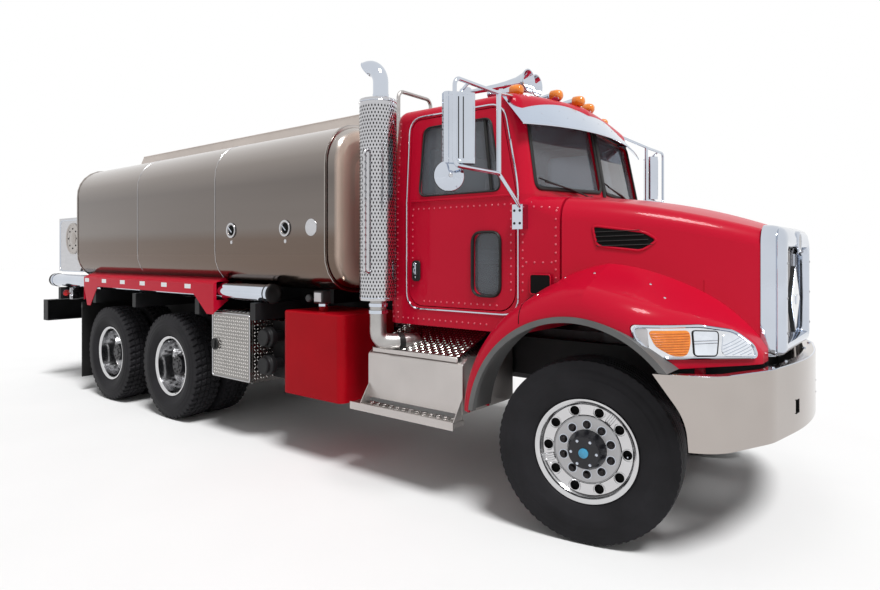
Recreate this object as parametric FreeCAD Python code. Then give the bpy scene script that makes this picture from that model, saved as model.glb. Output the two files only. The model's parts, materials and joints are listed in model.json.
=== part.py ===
"""Conventional-cab tanker truck with tandem drive axles.

Millimetres.  +X is forward, +Y is the truck's left, +Z is up, and the ground is Z = 0.
Every part is drawn with X measured from the rearmost axle.  At the end the whole truck is
moved along X so that the middle of its length is at X = 0.
"""
import FreeCAD, Part
import math
import os

V = FreeCAD.Vector
X, Y, Z = V(1, 0, 0), V(0, 1, 0), V(0, 0, 1)
RIGHT, LEFT = -1, 1
SIDES = ((RIGHT, "right"), (LEFT, "left"))
CUT_FUZZ = 0.005            # faces nearer than this count as one when a shape is carved

# ---- wheels, axles and steering ------------------------------------------------------------
TYRE_R = 527.0              # 11R22.5 tyre, loaded as parked
TYRE_HALF = 142.0           # half of the tyre's width
RIM_SEAT_R = 286.0          # 22.5 inch bead seat
RIM_FLANGE_R = 299.0
BEAD_FIT = 1.5              # between the tyre's bead and the rim
RIM_HALF = 114.0            # from the wheel's middle plane to the flange's outer face
BARREL_WALL = 16.0
HUB_R = 112.0
DRUM_R = 206.0
HAND_HOLES = 10
HAND_HOLE_R = 27.0
HAND_HOLE_PITCH_R = 196.0
AXLE_Z = TYRE_R
TANDEM = 1320.0             # between the two drive axles
WHEELBASE = 5730.0          # front axle from the rearmost axle
FRONT_TRACK_HALF = 1000.0   # front wheel's middle plane
DUAL_OUTER_Y = 1078.0       # outer twin's middle plane
DUAL_SPACING = 343.0
KINGPIN_Y = 915.0
KINGPIN_R = 24.0
SPINDLE_R = 38.0
DRIVE_SPINDLE_R = 52.0
RUN_FIT = 0.05              # radial clearance where a shaft turns in a bore
STEER_REST = 11.0           # degrees to the left, as it stands
STEER_ARM = 185.0
TIE_ROD_DROP = 105.0        # tie rod's centre below the axle's centre
TIE_ROD_R = 22.0

# ---- frame -----------------------------------------------------------------------------------
FRAME_HALF = 432.0          # outside of the rails
RAIL_FLANGE = 90.0
RAIL_WEB = 10.0
FRAME_TOP = 1045.0
RAIL_DEPTH = 270.0
FRAME_REAR = -1800.0
FRAME_FRONT = 6560.0
GEARBOX_X = 4560.0

# ---- cab -------------------------------------------------------------------------------------
CAB_REAR = 4100.0
CAB_HALF = 975.0            # half width at the belt
CAB_ROOF_HALF = 930.0       # half width where the roof's curve begins
CAB_BOTTOM = 1140.0
BELT_Z = 2035.0
BELT_STEP = 2.0             # upper panels sit this far inside the lower ones
ROOF_Z = 2775.0
ROOF_EDGE_R = 92.0
ROOF_CROWN_R = 7000.0
LAMP_RISE = 42.0             # marker lamp's centre above the roof
HORN_RISE = 116.0
COWL_FRONT = 5520.0
SCREEN_SIDE_X = 5315.0      # windscreen's outer edge at the belt
SCREEN_MID_X = 5405.0       # windscreen's middle at the belt
SCREEN_LEAN = 140.0         # how far the screen leans back up to the roof
CAB_WALL = 50.0
GLASS = 6.0
DOOR_REAR = 4320.0
DOOR_FRONT = 5222.0
DOOR_FRONT_TOP = 5085.0
DOOR_BOTTOM = 1282.0
DOOR_TOP = 2625.0
DOOR_GAP = 6.0
DOOR_HINGE_X = DOOR_FRONT + 4.0

# ---- hood ------------------------------------------------------------------------------------
HOOD_GAP = 12.0
HOOD_REAR = COWL_FRONT + HOOD_GAP
HOOD_FRONT = 6545.0
HOOD_WALL = 14.0
HOOD_HALF_REAR = 940.0
HOOD_TOP_REAR = 2045.0
HOOD_TOP_FRONT = 1817.0
HOOD_BOTTOM = 1045.0
GRILLE_HALF = 455.0
GRILLE_FRONT = 6672.0
GRILLE_LIFT = 15.0           # the surround's foot above the hood's lower edge
ARCH_R = 700.0
ARCH_Z = 600.0
CREST_X = 5795.0            # centre of the fender's crest curve
CREST_Z = 628.0
CREST_R = 967.0             # from there to the crease along the hood's side
CREST_OUT_R = 805.0         # from there to the fender's outer edge
TAIL_R = 845.0
FENDER_OUT = 1222.0
FENDER_IN = 430.0
FENDER_TAIL_Z = 665.0
FENDER_CAB_GAP = 14.0       # between the fender's tail and the cab's side
LINER = 10.0
FLARE = 34.0
HOOD_PIVOT_X = 6615.0
HOOD_PIVOT_Z = 720.0
HOOD_ARM_Y = 598.0

# ---- headlamps, measured square to the fender's corner ------------------------------------------
LAMP_X = 6300.0
LAMP_Y = 900.0
LAMP_Z = 1180.0
LAMP_AIM = 40.0              # degrees outward from straight ahead
LAMP_POINTS = (              # across (outboard is positive), height, corner radius
    (-366.0, 1079.0, 24.0), (240.0, 1099.0, 120.0), (352.0, 1180.0, 60.0), (383.0, 1278.0, 20.0),
    (0.0, 1275.0, 300.0), (-230.0, 1239.0, 120.0), (-352.0, 1152.0, 50.0))

# ---- bumpers ---------------------------------------------------------------------------------
BUMPER_FRONT = 6740.0
BUMPER_TOP = 1030.0
BUMPER_BOTTOM = 640.0
BUMPER_HALF = 1190.0
TOW_HOLE_Y = 340.0
TOW_HOLE_Z = 782.0
BUMPER_SKIN = 8.0
REAR_BAR_X = -1940.0

# ---- tank ------------------------------------------------------------------------------------
TANK_REAR = -810.0
TANK_FRONT = 3700.0
TANK_HALF = 1225.0
TANK_TOP = 2722.0
TANK_BOTTOM = 1300.0
TANK_HEAD_DISH = 70.0
DAM_HALF = 450.0
DAM_TOP = 2910.0
DAM_REAR = -730.0
DAM_FRONT = 3480.0
DAM_SHEET = 6.0
MANHOLES = (("rear", 700.0), ("front", 2940.0))
MANHOLE_R = 255.0
MANHOLE_TOP = 2800.0
LADDER_TOP = 3005.0

# ---- what hangs beside the frame ---------------------------------------------------------------
BODY_HALF = 1200.0          # outside of boxes and steps
STEP_BOX = (4020.0, 4890.0)
STEP_Z = (520.0, 955.0)
SIDE_TANK = (3125.0, 3840.0)
SIDE_TANK_Z = (520.0, 1190.0)
SIDE_TANK_IN = 610.0
TOOLBOX = (2085.0, 2690.0)
TOOLBOX_Z = (525.0, 1130.0)
FENDER_LIP_Y = 1245.0
FENDER_LIP_TOP = 1380.0
FENDER_SKIRT = 105.0
FENDER_SHEET = 5.0
REAR_FENDER = (-572.0, 2185.0)
HOSE_TUBE_R = 80.0
HOSE_TUBE_Y = 1130.0
HOSE_TUBE_Z = 1312.0
HOSE_TUBE_X = (-1720.0, 2920.0)
OUTRIGGER_X = (-1300.0, -300.0, 660.0, 1900.0, 2780.0)

# ---- exhaust -----------------------------------------------------------------------------------
STACK_X = 4172.0
STACK_Y = -1150.0
STACK_TOP = 3072.0
ELBOW_Z = 1014.0
PIPE_R = 64.0
GUARD_R = 134.0
GUARD_Z = (1320.0, 2760.0)

# ---- rear cabinet --------------------------------------------------------------------------------
CABINET = (-1690.0, -850.0)
CABINET_HALF = 1100.0
CABINET_Z = (1425.0, 2110.0)
CABINET_SHEET = 5.0
CABINET_BASE = 40.0         # rails under the cabinet's floor
REEL_R = 240.0
REEL_Y = 520.0
REEL_HALF = 260.0
REEL_X = -1400.0
REEL_Z = 1745.0

# ---- mirrors ---------------------------------------------------------------------------------------
MIRROR_X = 5190.0
MIRROR_Y = 1540.0
MIRROR_Z = (2168.0, 2572.0)
MIRROR_LOOP_X = 5262.0
MIRROR_LOOP_Y = (1230.0, 1672.0)
MIRROR_LOOP_Z = (2140.0, 2625.0)
MIRROR_TOE = 38.0
MIRROR_TUBE_R = 12.0


# ---- small helpers -----------------------------------------------------------------------------------
def box(x, y, z):
    """Block from three (low, high) pairs."""
    return Part.makeBox(x[1] - x[0], y[1] - y[0], z[1] - z[0], V(x[0], y[0], z[0]))


def rod(start, end, radius):
    """Round bar between two points."""
    along = end - start
    return Part.makeCylinder(radius, along.Length, start, along)


def fuse(shapes):
    """One shape from many that touch or overlap."""
    shapes = list(shapes)
    whole = shapes[0]
    if len(shapes) > 1:
        whole = whole.multiFuse(shapes[1:])
    return whole.removeSplitter()


def carve(shape, tools):
    """Take several shapes out of one in a single step."""
    return shape.cut(list(tools), CUT_FUZZ)


def group(shapes):
    """Several solids that don't touch, kept as one node."""
    return Part.makeCompound([solid for shape in shapes for solid in shape.Solids])


def mirrored(shape):
    """The same shape on the truck's other side."""
    return shape.mirror(V(0, 0, 0), Y)


def placed(plane, u, v, w):
    """A point from two in-plane coordinates and the height off the plane."""
    return {"xz": V(u, w, v), "yz": V(w, u, v), "xy": V(u, v, w)}[plane]


def outline(points, plane="xz", at=0.0, closed=True):
    """Wire through (u, v, corner radius) points; corners are tangent arcs."""
    count = len(points)
    corners = []
    for i, (u, v, radius) in enumerate(points):
        here = V(u, v, 0)
        if radius <= 0 or (not closed and i in (0, count - 1)):
            corners.append((here, None, here))
            continue
        back = V(*points[i - 1][:2], 0) - here
        ahead = V(*points[(i + 1) % count][:2], 0) - here
        half = back.getAngle(ahead) / 2
        reach = radius / math.tan(half)
        bisector = (back.normalize() + ahead.normalize()).normalize()
        middle = here + bisector * (radius / math.sin(half) - radius)
        corners.append((here + back * reach, middle, here + ahead * reach))

    def lift(p):
        return placed(plane, p.x, p.y, at)

    edges = []
    for i, (start, middle, end) in enumerate(corners):
        if middle is not None:
            edges.append(Part.Arc(lift(start), lift(middle), lift(end)).toShape())
        if closed or i < count - 1:
            following = corners[(i + 1) % count][0]
            if end.distanceToPoint(following) > 1e-6:
                edges.append(Part.LineSegment(lift(end), lift(following)).toShape())
    return Part.Wire(edges)


def slab(points, plane, low, high):
    """Outline pulled from one height to another."""
    direction = placed(plane, 0, 0, high - low)
    return Part.Face(outline(points, plane, low)).extrude(direction)


def chamfered(points):
    """The same outline with each stated corner cut straight across."""
    cut = []
    for i, (u, v, corner) in enumerate(points):
        here = V(u, v, 0)
        if corner <= 0:
            cut.append((u, v, 0))
            continue
        for other in (points[i - 1], points[(i + 1) % len(points)]):
            way = V(other[0], other[1], 0) - here
            step = min(corner * 0.6, way.Length * 0.45)
            end = here + way.normalize() * step
            cut.append((end.x, end.y, 0))
    return cut


def turned(points, middle, axis=Y, rounded=False):
    """Solid of revolution about an axis through middle from (distance along, radius, corner) points."""
    if not rounded:
        points = chamfered(points)
    face = Part.Face(outline([(along, radius, corner) for along, radius, corner in points], "yz"))
    solid = face.revolve(V(0, 0, 0), Y, 360)
    solid.Placement = FreeCAD.Placement(middle, FreeCAD.Rotation(Y, axis))
    return solid


def tube(points, radius, bend, wall=0.0):
    """Round tube along straight runs with tangent bends; hollow when a wall is given."""
    edges = []
    start = points[0]
    for i in range(1, len(points) - 1):
        here = points[i]
        back = (points[i - 1] - here).normalize()
        ahead = (points[i + 1] - here).normalize()
        half = back.getAngle(ahead) / 2
        reach = bend / math.tan(half)
        middle = here + (back + ahead).normalize() * (bend / math.sin(half) - bend)
        edges.append(Part.LineSegment(start, here + back * reach).toShape())
        edges.append(Part.Arc(here + back * reach, middle, here + ahead * reach).toShape())
        start = here + ahead * reach
    edges.append(Part.LineSegment(start, points[-1]).toShape())
    path = Part.Wire(edges)

    def sweep(r):
        ring = Part.Wire(Part.Circle(points[0], points[1] - points[0], r).toShape())
        return path.makePipeShell([ring], True, True)

    solid = sweep(radius)
    if wall > 0:
        solid = solid.cut(sweep(radius - wall))
    return solid


def about_z(shape, centre, degrees):
    """Copy of a shape turned about an upright line."""
    copy = shape.copy()
    copy.rotate(centre, Z, degrees)
    return copy


# ---- frame and running gear ----------------------------------------------------------------------------
def channel(side):
    """One C-section rail, open towards the truck's middle."""
    top, bottom = FRAME_TOP, FRAME_TOP - RAIL_DEPTH
    outer, inner = FRAME_HALF, FRAME_HALF - RAIL_FLANGE
    web = outer - RAIL_WEB
    points = [(outer, bottom), (outer, top), (inner, top), (inner, top - RAIL_WEB),
              (web, top - RAIL_WEB), (web, bottom + RAIL_WEB), (inner, bottom + RAIL_WEB), (inner, bottom)]
    rail = slab([(side * y, z, 0) for y, z in points], "yz", FRAME_REAR, FRAME_FRONT)
    return rail


def outrigger(x):
    """Beam across the frame that carries the rear fenders and the hose tubes."""
    half_width = 35
    reach = FENDER_LIP_Y - FENDER_SHEET
    low = FRAME_TOP + 40
    return box((x - half_width, x + half_width), (-reach, reach), (low, HOSE_TUBE_Z - HOSE_TUBE_R))


def chassis_frame():
    rails = [channel(side) for side, _ in SIDES]
    inside = FRAME_HALF - RAIL_WEB / 2
    members = [box((x - 60, x + 60), (-inside, inside), (FRAME_TOP - 190, FRAME_TOP - 60))
               for x in (-1700, -660, 660, 2000, 3400, 6420)]
    sills = [box((TANK_REAR + 60, TANK_FRONT - 40), (side * 400 - 38, side * 400 + 38),
                 (FRAME_TOP - 1, TANK_BOTTOM + 60)) for side in (RIGHT, LEFT)]
    saddles = [box((x - 30, x + 30), (-820, 820), (TANK_BOTTOM - 70, TANK_BOTTOM + 260))
               for x in (-500, 660, 1900, 3300)]
    beams = [outrigger(x) for x in OUTRIGGER_X]
    spacers = [box((x - 35, x + 35), (side * 400 - 38, side * 400 + 38), (FRAME_TOP - 1, FRAME_TOP + 60))
               for x in OUTRIGGER_X for side in (RIGHT, LEFT)]
    horns = [box((FRAME_FRONT - 120, BUMPER_FRONT - 62), (side * 390 - 30, side * 390 + 30),
                 (FRAME_TOP - RAIL_DEPTH, FRAME_TOP - RAIL_DEPTH + 90)) for side in (RIGHT, LEFT)]
    posts = [box((CABINET[0] + 120, CABINET[0] + 190), (side * 400 - 38, side * 400 + 38),
                 (FRAME_TOP - 1, CABINET_Z[0] - CABINET_BASE)) for side in (RIGHT, LEFT)]
    cab_mounts = [box((x - 60, x + 60), (side * 400 - 38, side * 400 + 38), (FRAME_TOP - 1, CAB_BOTTOM))
                  for x in (4250, 4900) for side in (RIGHT, LEFT)]
    whole = fuse(rails + members + sills + saddles + beams + spacers + horns + posts + cab_mounts)
    return whole.cut(tank_body())


def front_axle():
    """Dropped I-beam: a deep middle between the springs, rising to the kingpin eyes."""
    eye, drop, rise = AXLE_Z, AXLE_Z - 95, KINGPIN_Y - 40
    half = 55
    top = [(-rise, eye + half, 0), (-640, eye + half - 20, 60), (-500, drop + half, 60),
           (500, drop + half, 60), (640, eye + half - 20, 60), (rise, eye + half, 0),
           (rise, eye - half, 0), (640, eye - half - 20, 60), (500, drop - half, 60),
           (-500, drop - half, 60), (-640, eye - half - 20, 60), (-rise, eye - half, 0)]
    web = slab(top, "yz", WHEELBASE - 50, WHEELBASE + 50)
    eyes = [rod(V(WHEELBASE, side * KINGPIN_Y, eye - half), V(WHEELBASE, side * KINGPIN_Y, eye + half), 46)
            for side in (RIGHT, LEFT)]
    bores = [rod(V(WHEELBASE, side * KINGPIN_Y, eye - 200), V(WHEELBASE, side * KINGPIN_Y, eye + 200),
                 KINGPIN_R + RUN_FIT) for side in (RIGHT, LEFT)]
    beam = fuse([web] + eyes)
    for bore in bores:
        beam = beam.cut(bore)
    return beam


def leaf_pack(x, y, half_length, camber, leaves, low, width=76):
    """Stack of leaves, longest on top, each bent upward a little at its middle; the pack starts at low."""
    leaf, bend = 13.0, 1500.0
    pack = []
    for i in range(leaves):
        reach = half_length * (1 - 0.16 * (leaves - 1 - i))
        base = low + i * leaf
        end = base + camber * reach / half_length
        points = [(x - reach, end, 0), (x, base, bend), (x + reach, end, 0),
                  (x + reach, end + leaf, 0), (x, base + leaf, bend), (x - reach, end + leaf, 0)]
        pack.append(slab(points, "xz", y - width / 2, y + width / 2))
    return fuse(pack)


def leaf_springs():
    """Front packs under the rails, with the clamp block, hangers and shackles that hold them."""
    packs = []
    for side in (RIGHT, LEFT):
        y = side * 400
        low = AXLE_Z - 95 + 55
        pack = leaf_pack(WHEELBASE, y, 680, 105, 4, low - 17)
        clamp = box((WHEELBASE - 70, WHEELBASE + 70), (y - 38, y + 38), (low + 40, low + 95))
        hangers = [box((WHEELBASE + dx - 35, WHEELBASE + dx + 35), (y - 32, y + 32),
                       (low + 60, FRAME_TOP - RAIL_DEPTH)) for dx in (-655, 655)]
        packs.append(fuse([pack, clamp] + hangers))
    return group(packs)


def drive_axle(x):
    """Round axle tubes, the domed differential housing and the spindles that the wheels turn on."""
    reach = DUAL_OUTER_Y - DUAL_SPACING - 120
    tubes = rod(V(x, -reach, AXLE_Z), V(x, reach, AXLE_Z), 70)
    spindles = rod(V(x, -DUAL_OUTER_Y - 40, AXLE_Z), V(x, DUAL_OUTER_Y + 40, AXLE_Z), DRIVE_SPINDLE_R)
    bowl = turned([(-95, 0, 0), (-95, 150, 40), (-30, 205, 40), (30, 205, 40), (95, 150, 40), (95, 0, 0)],
                  V(x, 0, AXLE_Z), X)
    nose = rod(V(x + 60, 0, AXLE_Z + 30), V(x + 300, 0, AXLE_Z + 60), 82)
    pads = [box((x - 75, x + 75), (side * 400 - 50, side * 400 + 50), (AXLE_Z - 20, AXLE_Z + 118))
            for side in (RIGHT, LEFT)]
    return [tubes, spindles, bowl, nose] + pads


def drive_axles():
    """Both drive axles with the shafts that turn them."""
    link = rod(V(250, 0, AXLE_Z + 56), V(TANDEM - 60, 0, AXLE_Z + 62), 45)
    long_shaft = rod(V(TANDEM + 260, 0, AXLE_Z + 56), V(GEARBOX_X - 8, 0, 830), 55)
    bearing = box((2900, 2960), (-90, 90), (640, 800))
    return fuse(drive_axle(0.0) + drive_axle(TANDEM) + [link, long_shaft, bearing])


def rear_suspension():
    """Walking beams between the axles, each with its saddle spring on the rail."""
    sides = []
    middle = TANDEM / 2
    for side in (RIGHT, LEFT):
        y = side * 400
        pack = leaf_pack(middle, y, 640, -70, 4, AXLE_Z + 190)
        hanger = slab([(middle - 150, FRAME_TOP - RAIL_DEPTH, 0), (middle + 150, FRAME_TOP - RAIL_DEPTH, 0),
                       (middle + 70, AXLE_Z + 120, 0), (middle - 70, AXLE_Z + 120, 0)], "xz", y - 36, y + 36)
        ends = [box((middle + dx - 40, middle + dx + 40), (y - 38, y + 38), (AXLE_Z + 118.5, AXLE_Z + 160))
                for dx in (-600, 600)]
        sides.append(fuse([pack, hanger] + ends))
    return group(sides)


def engine():
    """The engine's mass with its gearbox, and the radiator ahead of it."""
    half = 320
    block = box((COWL_FRONT + 16, 6260), (-half, half), (720, 1600))
    gearbox = box((GEARBOX_X, COWL_FRONT + 18), (-210, 210), (690, 1090))
    radiator = box((6350, 6430), (-410, 410), (FRAME_TOP + 15, 1655))
    foot = box((6350, 6430), (-300, 300), (FRAME_TOP - 59.5, FRAME_TOP + 15))
    return group([fuse([block, gearbox]), fuse([radiator, foot])])


# ---- wheels ----------------------------------------------------------------------------------------------
def tyre(centre, axis):
    """Carcass with a bulged side wall and a gently crowned tread."""
    half = TYRE_HALF
    seat, over = RIM_SEAT_R + BEAD_FIT, RIM_FLANGE_R + BEAD_FIT
    bead = RIM_HALF - 16 - BEAD_FIT
    profile = [(-bead, seat, 0), (-bead, over, 0), (-112, over + 4, 0), (-half - 5, 404, 70),
               (-half + 8, 494, 30), (-half + 24, TYRE_R - 7, 18), (0, TYRE_R, 0),
               (half - 24, TYRE_R - 7, 18), (half - 8, 494, 30), (half + 5, 404, 70),
               (112, over + 4, 0), (bead, over, 0), (bead, seat, 0)]
    return turned(profile, centre, axis, rounded=True)


def rim(centre, axis, face, bore_r, bore_deep, drum_in):
    """Rim barrel with its disc, hub and brake drum; face is how far the disc stands outboard."""
    half, wall = RIM_HALF, BARREL_WALL
    seat, flange = RIM_SEAT_R, RIM_FLANGE_R
    inner = seat - wall
    disc = 22.0
    profile = [(half, flange, 3), (half, flange - 12, 3), (half - 12, inner, 6),
               (face + 8, inner, 20), (face, HUB_R + 60, 30), (face + 4, HUB_R, 4),
               (face + 70, HUB_R - 22, 6), (face + 70, 0, 0), (face - drum_in, 0, 0),
               (face - drum_in, DRUM_R, 10), (face - disc - 4, DRUM_R, 4),
               (face - disc + 8 - 14, inner - 2, 8), (-half + 12, inner, 6), (-half, flange - 12, 3),
               (-half, flange, 3), (-half + 13, flange, 3), (-half + 16, seat, 3),
               (half - 16, seat, 3), (half - 13, flange, 3)]
    wheel = turned(profile, centre, axis)
    u, v = cross_axes(axis)
    for i in range(HAND_HOLES):
        angle = 2 * math.pi * i / HAND_HOLES
        at = centre + u * (HAND_HOLE_PITCH_R * math.cos(angle)) + v * (HAND_HOLE_PITCH_R * math.sin(angle))
        at = at + (u * math.cos(angle) + v * math.sin(angle)) * 32
        wheel = wheel.cut(Part.makeCylinder(HAND_HOLE_R, 60, at + axis * (face - 50), axis))
    bore = Part.makeCylinder(bore_r, bore_deep, centre + axis * (face - drum_in - 1), axis)
    return wheel.cut(bore)


def cross_axes(axis):
    """Two directions square to an axis that lies level."""
    side = axis.cross(Z).normalize()
    return side, Z


def front_wheel(side):
    """Steered wheel as it stands, turned a little to the left about its kingpin."""
    centre = V(WHEELBASE, side * FRONT_TRACK_HALF, AXLE_Z)
    axis = V(0, side, 0)
    kingpin = V(WHEELBASE, side * KINGPIN_Y, 0)
    parts = [tyre(centre, axis), rim(centre, axis, 66.0, SPINDLE_R + RUN_FIT, 140.0, 84.0)]
    return [about_z(part, kingpin, STEER_REST) for part in parts]


def knuckle(side):
    """Spindle, kingpin with its yoke, and the arm that the tie rod joins."""
    pin = V(WHEELBASE, side * KINGPIN_Y, AXLE_Z)
    tall, gap = 95, 62
    pin_rod = rod(pin - Z * tall, pin + Z * tall, KINGPIN_R)
    plates = [box((WHEELBASE - 48, WHEELBASE + 48), sorted((side * (KINGPIN_Y - 48), side * (KINGPIN_Y + 62))),
                  (AXLE_Z + z, AXLE_Z + z + tall - gap)) for z in (gap, -tall)]
    cheek = box((WHEELBASE - 48, WHEELBASE + 48), sorted((side * (KINGPIN_Y + 50), side * (KINGPIN_Y + 62))),
                (AXLE_Z - tall, AXLE_Z + tall))
    spindle = rod(pin + Y * (side * 55), V(WHEELBASE, side * (FRONT_TRACK_HALF + 30), AXLE_Z), SPINDLE_R)
    yoke = fuse([pin_rod, cheek, spindle] + plates)
    eye = pin + V(-STEER_ARM, 0, -TIE_ROD_DROP)
    arm_start = pin + V(-30, 0, -tall + 12)
    arm = tube([arm_start, arm_start + V(-110, 0, 0), eye + V(20, 0, 48), eye + V(-10, 0, 48)], 17, 20)
    boss = rod(eye + Z * 26, eye + Z * 66, 24)
    return about_z(fuse([yoke, arm, boss]), pin, STEER_REST)


def tie_rod_end(side):
    swing = math.radians(STEER_REST)
    return V(WHEELBASE - STEER_ARM * math.cos(swing), side * KINGPIN_Y - STEER_ARM * math.sin(swing),
             AXLE_Z - TIE_ROD_DROP)


def tie_rod():
    """Straight rod between the two knuckle arms, with a round joint under each boss."""
    ends = [tie_rod_end(side) for side in (RIGHT, LEFT)]
    joints = [rod(end - Z * 24, end + Z * 16, 24) for end in ends]
    return fuse([rod(ends[0], ends[1], TIE_ROD_R)] + joints)


def dual_set(x, side):
    """Twin tyres and twin rims that turn together; the discs meet between the twins."""
    axis = V(0, side, 0)
    outer = V(x, side * DUAL_OUTER_Y, AXLE_Z)
    inner = V(x, side * (DUAL_OUTER_Y - DUAL_SPACING), AXLE_Z)
    tyres = group([tyre(outer, axis), tyre(inner, axis)])
    meet = DUAL_SPACING / 2
    rims = fuse([dual_rim(outer, axis, -meet), dual_rim(inner, axis, meet), drive_hub(outer, axis, -meet)])
    bore = rod(V(x, side * 400, AXLE_Z), V(x, side * (DUAL_OUTER_Y + 45), AXLE_Z), DRIVE_SPINDLE_R + RUN_FIT)
    return tyres, rims.cut(bore)


def dual_rim(centre, axis, face):
    """One twin's rim: a barrel with a dished disc that reaches the plane where the twins meet."""
    half, wall, seat, flange = RIM_HALF, BARREL_WALL, RIM_SEAT_R, RIM_FLANGE_R
    inner = seat - wall
    out = 1 if face > 0 else -1
    plate = 14.0
    shell = [(half, flange, 3), (half, flange - 12, 3), (half - 12, inner, 6), (-half + 12, inner, 6),
             (-half, flange - 12, 3), (-half, flange, 3), (-half + 13, flange, 3), (-half + 16, seat, 3),
             (half - 16, seat, 3), (half - 13, flange, 3)]
    edge = out * (half - 40)
    dish = [(edge, inner + 2, 0), (face, 235, 30), (face, 0, 0), (face - out * plate, 0, 0),
            (face - out * plate, 228, 30), (edge - out * 26, inner + 2, 0)]
    barrel = turned(shell, centre, axis)
    disc = turned(dish, centre, axis)
    u, v = cross_axes(axis)
    for i in range(HAND_HOLES):
        angle = 2 * math.pi * i / HAND_HOLES
        at = centre + (u * math.cos(angle) + v * math.sin(angle)) * 200
        disc = disc.cut(Part.makeCylinder(HAND_HOLE_R, 60, at + axis * (face - 30), axis))
    return fuse([barrel, disc])


def drive_hub(centre, axis, face):
    """Hub that stands out through the outer twin, with the brake drum inboard of the discs."""
    profile = [(face - 14, 0, 0), (face + 10, 0, 0), (face + 210, 0, 0), (face + 210, 88, 8),
               (face + 120, 96, 6), (face + 112, 112, 4), (face + 10, 118, 6), (face - 14, 118, 0)]
    drum = [(face - 12, 0, 0), (face - 14, DRUM_R - 30, 0), (face - 30, DRUM_R, 10),
            (face - 210, DRUM_R, 10), (face - 210, 0, 0)]
    return fuse([turned(profile, centre, axis), turned(drum, centre, axis)])


# ---- cab --------------------------------------------------------------------------------------------------
def greenhouse(inset):
    """Upper cab: flat-sided frustum with a two-pane screen, crowned on top and rounded along every edge."""
    def plan(z, half, lean):
        rear = CAB_REAR + lean * 0.25 + inset + BELT_STEP
        side_x = SCREEN_SIDE_X - lean - inset - BELT_STEP
        mid_x = SCREEN_MID_X - lean - inset - BELT_STEP
        half -= BELT_STEP
        ring = [V(rear, -half, z), V(side_x, -half, z), V(mid_x, 0, z), V(side_x, half, z), V(rear, half, z)]
        return Part.makePolygon(ring + [ring[0]])

    top_z = ROOF_Z + 40 - inset
    share = (top_z - BELT_Z) / (ROOF_Z - BELT_Z)
    half_top = CAB_HALF + (CAB_ROOF_HALF - CAB_HALF) * share
    low = plan(BELT_Z, CAB_HALF - inset, 0)
    high = plan(top_z, half_top - inset, SCREEN_LEAN * share)
    solid = Part.makeLoft([low, high], True, True)
    crown = Part.makeCylinder(ROOF_CROWN_R - inset, 3000, V(CAB_REAR - 800, 0, ROOF_Z - ROOF_CROWN_R), X)
    crown.rotate(V(0, 0, ROOF_Z - ROOF_CROWN_R), X, 180)
    solid = solid.common(crown)
    roof_low = ROOF_Z - inset - 110
    corners = [e for e in solid.Edges if e.BoundBox.ZLength > 300 and abs(e.CenterOfMass.y) > 100]
    roof = [e for e in solid.Edges if e.BoundBox.ZMin > roof_low]
    return solid.makeFillet(ROOF_EDGE_R - inset * 0.8, corners + roof)


def crown_section(x, half, top, drop, shoulder, bottom, inset=0.0):
    """Section with the same edges at every station: side, shoulder arc, crown arc, shoulder arc, side, base."""
    half, top, shoulder = half - inset, top - inset, max(shoulder - inset, 20)
    side_top = top - drop - shoulder
    flat = half - shoulder
    centre = V(x, flat, side_top)
    shoulder_mid = centre + V(0, 1, 1).normalize() * shoulder
    shoulder_top = centre + V(0, 0, shoulder)

    def m(p):
        return V(p.x, -p.y, p.z)

    side_point = V(x, half, side_top)
    foot = V(x, half, bottom)
    return Part.Wire([
        Part.LineSegment(m(foot), m(side_point)).toShape(),
        Part.Arc(m(side_point), m(shoulder_mid), m(shoulder_top)).toShape(),
        Part.Arc(m(shoulder_top), V(x, 0, top), shoulder_top).toShape(),
        Part.Arc(shoulder_top, shoulder_mid, side_point).toShape(),
        Part.LineSegment(side_point, foot).toShape(),
        Part.LineSegment(foot, m(foot)).toShape()])


# stations along the hood: x, half width, top, crown drop, shoulder radius
HOOD_STATIONS = (
    (HOOD_REAR, HOOD_HALF_REAR, HOOD_TOP_REAR, 34.0, 150.0),
    (6050.0, 722.0, 1970.0, 40.0, 125.0),
    (HOOD_FRONT, GRILLE_HALF, HOOD_TOP_FRONT, 18.0, 110.0))


def hood_body(inset):
    """Tapering upper hood from the cowl to the grille; the inner copy runs past both ends."""
    sections = [crown_section(x, half, top, drop, shoulder, HOOD_BOTTOM - inset * 3, inset)
                for x, half, top, drop, shoulder in HOOD_STATIONS]
    return Part.makeLoft(sections, True, False)


def cab_plan(inset):
    """Outline of the cab seen from above at the belt, its screen standing in a shallow V."""
    corner = ROOF_EDGE_R - inset * 0.8
    rear, side_x, half = CAB_REAR + inset, SCREEN_SIDE_X - inset, CAB_HALF - inset
    return [(rear, -half, corner), (side_x, -half, corner), (SCREEN_MID_X - inset, 0, 0),
            (side_x, half, corner), (rear, half, corner)]


def cowl(inset):
    """Stretch between the windscreen's foot and the hood, its shoulder swelling into the hood's own."""
    x, half, top, drop, shoulder = HOOD_STATIONS[0]
    low = CAB_BOTTOM + inset
    rear = crown_section(DOOR_FRONT + 16, CAB_HALF, BELT_Z + 22, 28.0, 52.0, low, inset)
    front = crown_section(COWL_FRONT - inset, half + 6, top + 4, drop, shoulder, low, inset)
    return Part.makeLoft([rear, front], True, True)


def cab_body(inset):
    """Whole cab outside; with an inset it is the same body that much smaller all round."""
    lower = slab(cab_plan(inset), "xy", CAB_BOTTOM + inset, BELT_Z)
    body = lower.fuse(greenhouse(inset)).fuse(cowl(inset))
    wheel_house = Part.makeCylinder(ARCH_R + 18 + inset, 2400, V(WHEELBASE, -1200, ARCH_Z), Y)
    return body.cut(wheel_house)


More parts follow.
